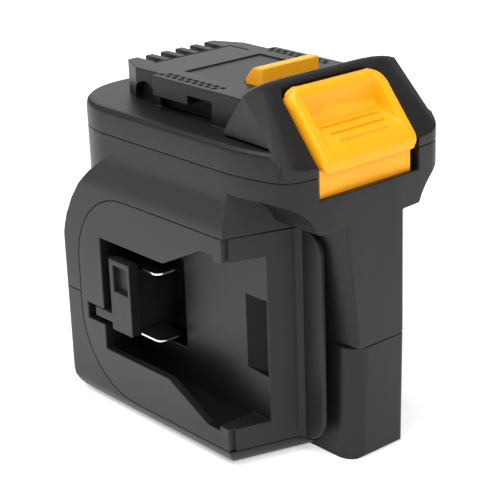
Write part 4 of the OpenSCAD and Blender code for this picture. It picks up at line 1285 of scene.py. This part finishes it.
@dataclass
class ReleaseSprings:
    """The two coil springs under the button. Sizes in millimetres."""

    place: Place = (10.0, -46.7, 85.5)
    height: float = 18.5
    wire: float = 0.8
    coil_d: float = 7.0
    turns: int = 7
    closed: float = 1.04
    steps: int = 24
    squeeze: float = 5.65

    def build(self) -> None:
        """Wind and dress both springs."""
        x, y, z = self.place
        for side in Side:
            middle = (side.sign * x, y, z)
            spring = tube(f"coil_spring_{side.value}", self.route(middle), self.wire, False)
            dress(spring, Finishes.SPRING)
            settle(spring, Body.SHELL, Slot.STEEL, f"release_spring_{side.value}")
            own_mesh(spring)

    def route(self, middle: Place) -> list[Place]:
        """Give the middle of the wire, with one closed turn at each end.

        Args:
            middle: Foot of the coil's axis.

        Returns:
            Points along the wire.
        """
        close = self.closed * self.wire
        pitch = (self.height - self.wire - 2 * close) / self.turns
        radius = (self.coil_d - self.wire) / 2
        route: list[Place] = []
        z = middle[2] + self.wire / 2
        for i in range((self.turns + 2) * self.steps + 1):
            a = 2 * math.pi * i / self.steps
            route.append((middle[0] + radius * math.cos(a), middle[1] + radius * math.sin(a), z))
            z += (pitch if self.steps <= i < (self.turns + 1) * self.steps else close) / self.steps
        return route


@dataclass
class WireLoom:
    """Sleeved wires from the blades to the board and from there to the output clips. Sizes in millimetres."""

    wire: float = 2.4
    blade_x: float = 29.5
    blade_end: float = 41.6
    bend_y: float = 46.16
    socket_z: float = 42.8
    blade_half: float = 12.25
    board_half: float = 17.0
    board_rear: float = 39.3
    board_top: float = 15.6
    output_y: float = 3.4
    knee_z: float = 83.3
    clip: Place = (13.0, 34.0, 103.4)

    def build(self) -> None:
        """Lay and dress every wire."""
        for side in Side:
            for pole, sign in (("positive", 1), ("negative", -1)):
                route = [(-side.sign * x, y, z) for x, y, z in self.blade_route(sign)]
                self.lay(f"wire_{pole}_{side.value}", route, pole)
        for pole, sign in (("positive", -1), ("negative", 1)):
            self.lay(f"wire_output_{pole}", self.output_route(sign), pole)

    def lay(self, node: str, route: list[Place], pole: str) -> None:
        """Make one wire.

        Args:
            node: The CAD node that it stands for.
            route: Points along its middle.
            pole: Positive wires are red, negative ones black.
        """
        wire = tube(node + "_sleeve", route, self.wire, True)
        red = pole == "positive"
        dress(wire, Finishes.RED_SLEEVE if red else Finishes.BLACK_SLEEVE)
        settle(wire, Body.SHELL, Slot.WIRE_RED if red else Slot.WIRE_BLACK, node)

    def blade_route(self, sign: int) -> list[Place]:
        """Give the route of a wire on the left side, from its blade to the board.

        Args:
            sign: 1 for the upper blade, -1 for the lower one.

        Returns:
            Points along its middle.
        """
        w, x, z = self.wire, -self.blade_x, self.socket_z + sign * self.blade_half
        pad = (-self.board_half + (2 if sign > 0 else 5) * w, self.board_rear - 4.6 * w, self.board_top)
        route = [(x, self.blade_end, z), (x, self.blade_end + w, z), (x + 0.8 * w, self.bend_y, z - 0.4 * w),
                 (x + 2.5 * w, self.bend_y, z - 2.5 * w)]
        if sign > 0:
            route.append((x + 3.3 * w, self.bend_y, self.socket_z - 2.5 * w))
        x, y, z = pad
        return route + [(x - 2 * w, y + 5 * w, z + 2.5 * w), (x, y + 1.3 * w, z + 2 * w), (x, y, z + w), pad]

    def output_route(self, sign: int) -> list[Place]:
        """Give the route of a wire from the board up to its output clip.

        Args:
            sign: Side of the clip.

        Returns:
            Points along its middle.
        """
        w = self.wire
        x, y, z = sign * 2.5 * w, self.output_y, self.board_top
        tip = (sign * self.clip[0], *self.clip[1:])
        return [(x, y, z), (x, y, z + w), (x + sign * w / 2, y + w / 2, z + 0.4 * (tip[2] - z)),
                (sign * 3.2 * w, y + 2 * w, self.knee_z),
                (tip[0] - sign * w / 2, tip[1] - 2.2 * w, tip[2] - 2.7 * w),
                (tip[0] - sign * w / 4, tip[1] - w, tip[2] - 2.1 * w),
                (tip[0], tip[1], tip[2] - 1.2 * w), tip]


@dataclass
class InnerNodes:
    """CAD nodes inside the housing that keep their shape and get a finish."""

    looks: dict[str, Finish] = field(default_factory=lambda: {
        "output_carrier": Finishes.TERMINAL,
        "output_clip_positive": Finishes.COPPER,
        "output_clip_negative": Finishes.COPPER,
        "signal_contact": Finishes.COPPER,
        "circuit_board": Finishes.BOARD,
        "power_transistors": Finishes.PACKAGE,
        "heat_spreader": Finishes.ALUMINIUM,
        "capacitor": Finishes.ALUMINIUM,
        "cover_screws": Finishes.STEEL,
        "housing_screws": Finishes.STEEL,
        "board_screws": Finishes.STEEL,
    })

    def build(self) -> None:
        """Dress each node."""
        for node, finish in self.looks.items():
            dress(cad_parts[node], finish)
            LOG.info("%s: dressed", node)


@dataclass(frozen=True)
class Lamp:
    """Square soft light, in metres and watts. It looks at the object unless it has a point of its own."""

    name: str
    place: Place
    size: float
    power: float
    aim_at: Optional[Place] = None


@dataclass
class Studio:
    """Pale floor, soft lights and the camera. Lengths in metres, angles in degrees."""

    azimuth: float = -40.32
    elevation: float = 20.59
    roll: float = -1.96
    distance: float = 534.75 * MM
    target: Place = (0.0, 1.6 * MM, 56.74 * MM)
    focal_px: float = 1552.0
    image_px: float = 500.0
    sensor: float = 36.0
    nearest: float = 0.01
    floor_size: float = 12.0
    floor_blotch: float = 0.4
    floor_tones: Span = (0.93, 0.95)
    sky: float = 0.38
    glow: float = 0.40
    lamps: tuple[Lamp, ...] = (
        Lamp("key_top", (-0.35, 0.15, 1.0), 0.9, 11.0),
        Lamp("table_left", (-0.14, 0.06, 0.002), 0.17, 0.04, (-0.14, 0.06, 1.0)),
        Lamp("front_soft", (-0.25, -0.85, 0.75), 0.6, 6.0),
        Lamp("rear_card", (0.55, 0.70, 0.42), 0.5, 0.8),
    )

    def build(self) -> None:
        """Set up the floor, the light and the camera."""
        self.floor()
        self.world()
        for lamp in self.lamps:
            self.light(lamp)
        self.camera()
        view = bpy.context.scene.view_settings
        view.view_transform = "Standard"
        view.look = "None"

    def floor(self) -> None:
        """Add the floor."""
        deselect_all()
        bpy.ops.mesh.primitive_plane_add(size=self.floor_size, location=(0.0, 0.0, 0.0))
        floor = bpy.context.object
        floor.name = "floor"
        low, high = self.floor_tones
        shader = Shader("floor_white")
        shade = shader.ramp(shader.noise(self.floor_blotch),
                            [(0.0, (low, low, low)), (1.0, (high, high, high))])
        shader.feed(Base_Color=shade, Roughness=0.9, Specular_IOR_Level=0.0,
                    Emission_Strength=self.glow, Emission_Color=WHITE)
        floor.data.materials.append(shader.material)

    def world(self) -> None:
        """Light the scene evenly from all round."""
        world = bpy.data.worlds.new("studio")
        world.use_nodes = True
        back = world.node_tree.nodes["Background"]
        back.inputs["Color"].default_value = WHITE
        back.inputs["Strength"].default_value = self.sky
        bpy.context.scene.world = world

    def light(self, lamp: Lamp) -> None:
        """Add a light that the camera doesn't see.

        Args:
            lamp: Its place, size and power.
        """
        data = bpy.data.lights.new(lamp.name, "AREA")
        data.shape = "SQUARE"
        data.size = lamp.size
        data.energy = lamp.power
        obj = add_object(lamp.name, data)
        obj.location = lamp.place
        aim = Vector(lamp.aim_at or self.target) - Vector(lamp.place)
        obj.rotation_euler = aim.to_track_quat("-Z", "Y").to_euler()
        obj.visible_camera = False

    def camera(self) -> None:
        """Place the camera where the photograph was taken."""
        az, el, roll = (math.radians(a) for a in (self.azimuth, self.elevation, self.roll))
        back = Vector((math.sin(az) * math.cos(el), -math.cos(az) * math.cos(el), math.sin(el)))
        right = Vector((math.cos(az), math.sin(az), 0.0))
        up = back.cross(right)
        x_axis = right * math.cos(roll) + up * math.sin(roll)
        y_axis = up * math.cos(roll) - right * math.sin(roll)
        eye = Vector(self.target) + back * self.distance
        turn = Matrix((x_axis, y_axis, back)).transposed().to_4x4()
        data = bpy.data.cameras.new("photo_camera")
        data.sensor_fit = "HORIZONTAL"
        data.sensor_width = self.sensor
        data.lens = self.sensor * self.focal_px / self.image_px
        data.clip_start = self.nearest
        camera = add_object("photo_camera", data)
        camera.matrix_world = Matrix.Translation(eye) @ turn
        bpy.context.scene.camera = camera


def main() -> None:
    """Build the adapter's pieces and the studio, in order."""
    logging.basicConfig(level=logging.INFO, format="%(name)s: %(message)s")
    TopCover().build()
    Housing().build()
    for side in Side:
        PackSocket(side).build()
    ReleaseButton().build()
    ReleaseSprings().build()
    WireLoom().build()
    InnerNodes().build()
    Studio().build()


if __name__ == "__main__":
    main()
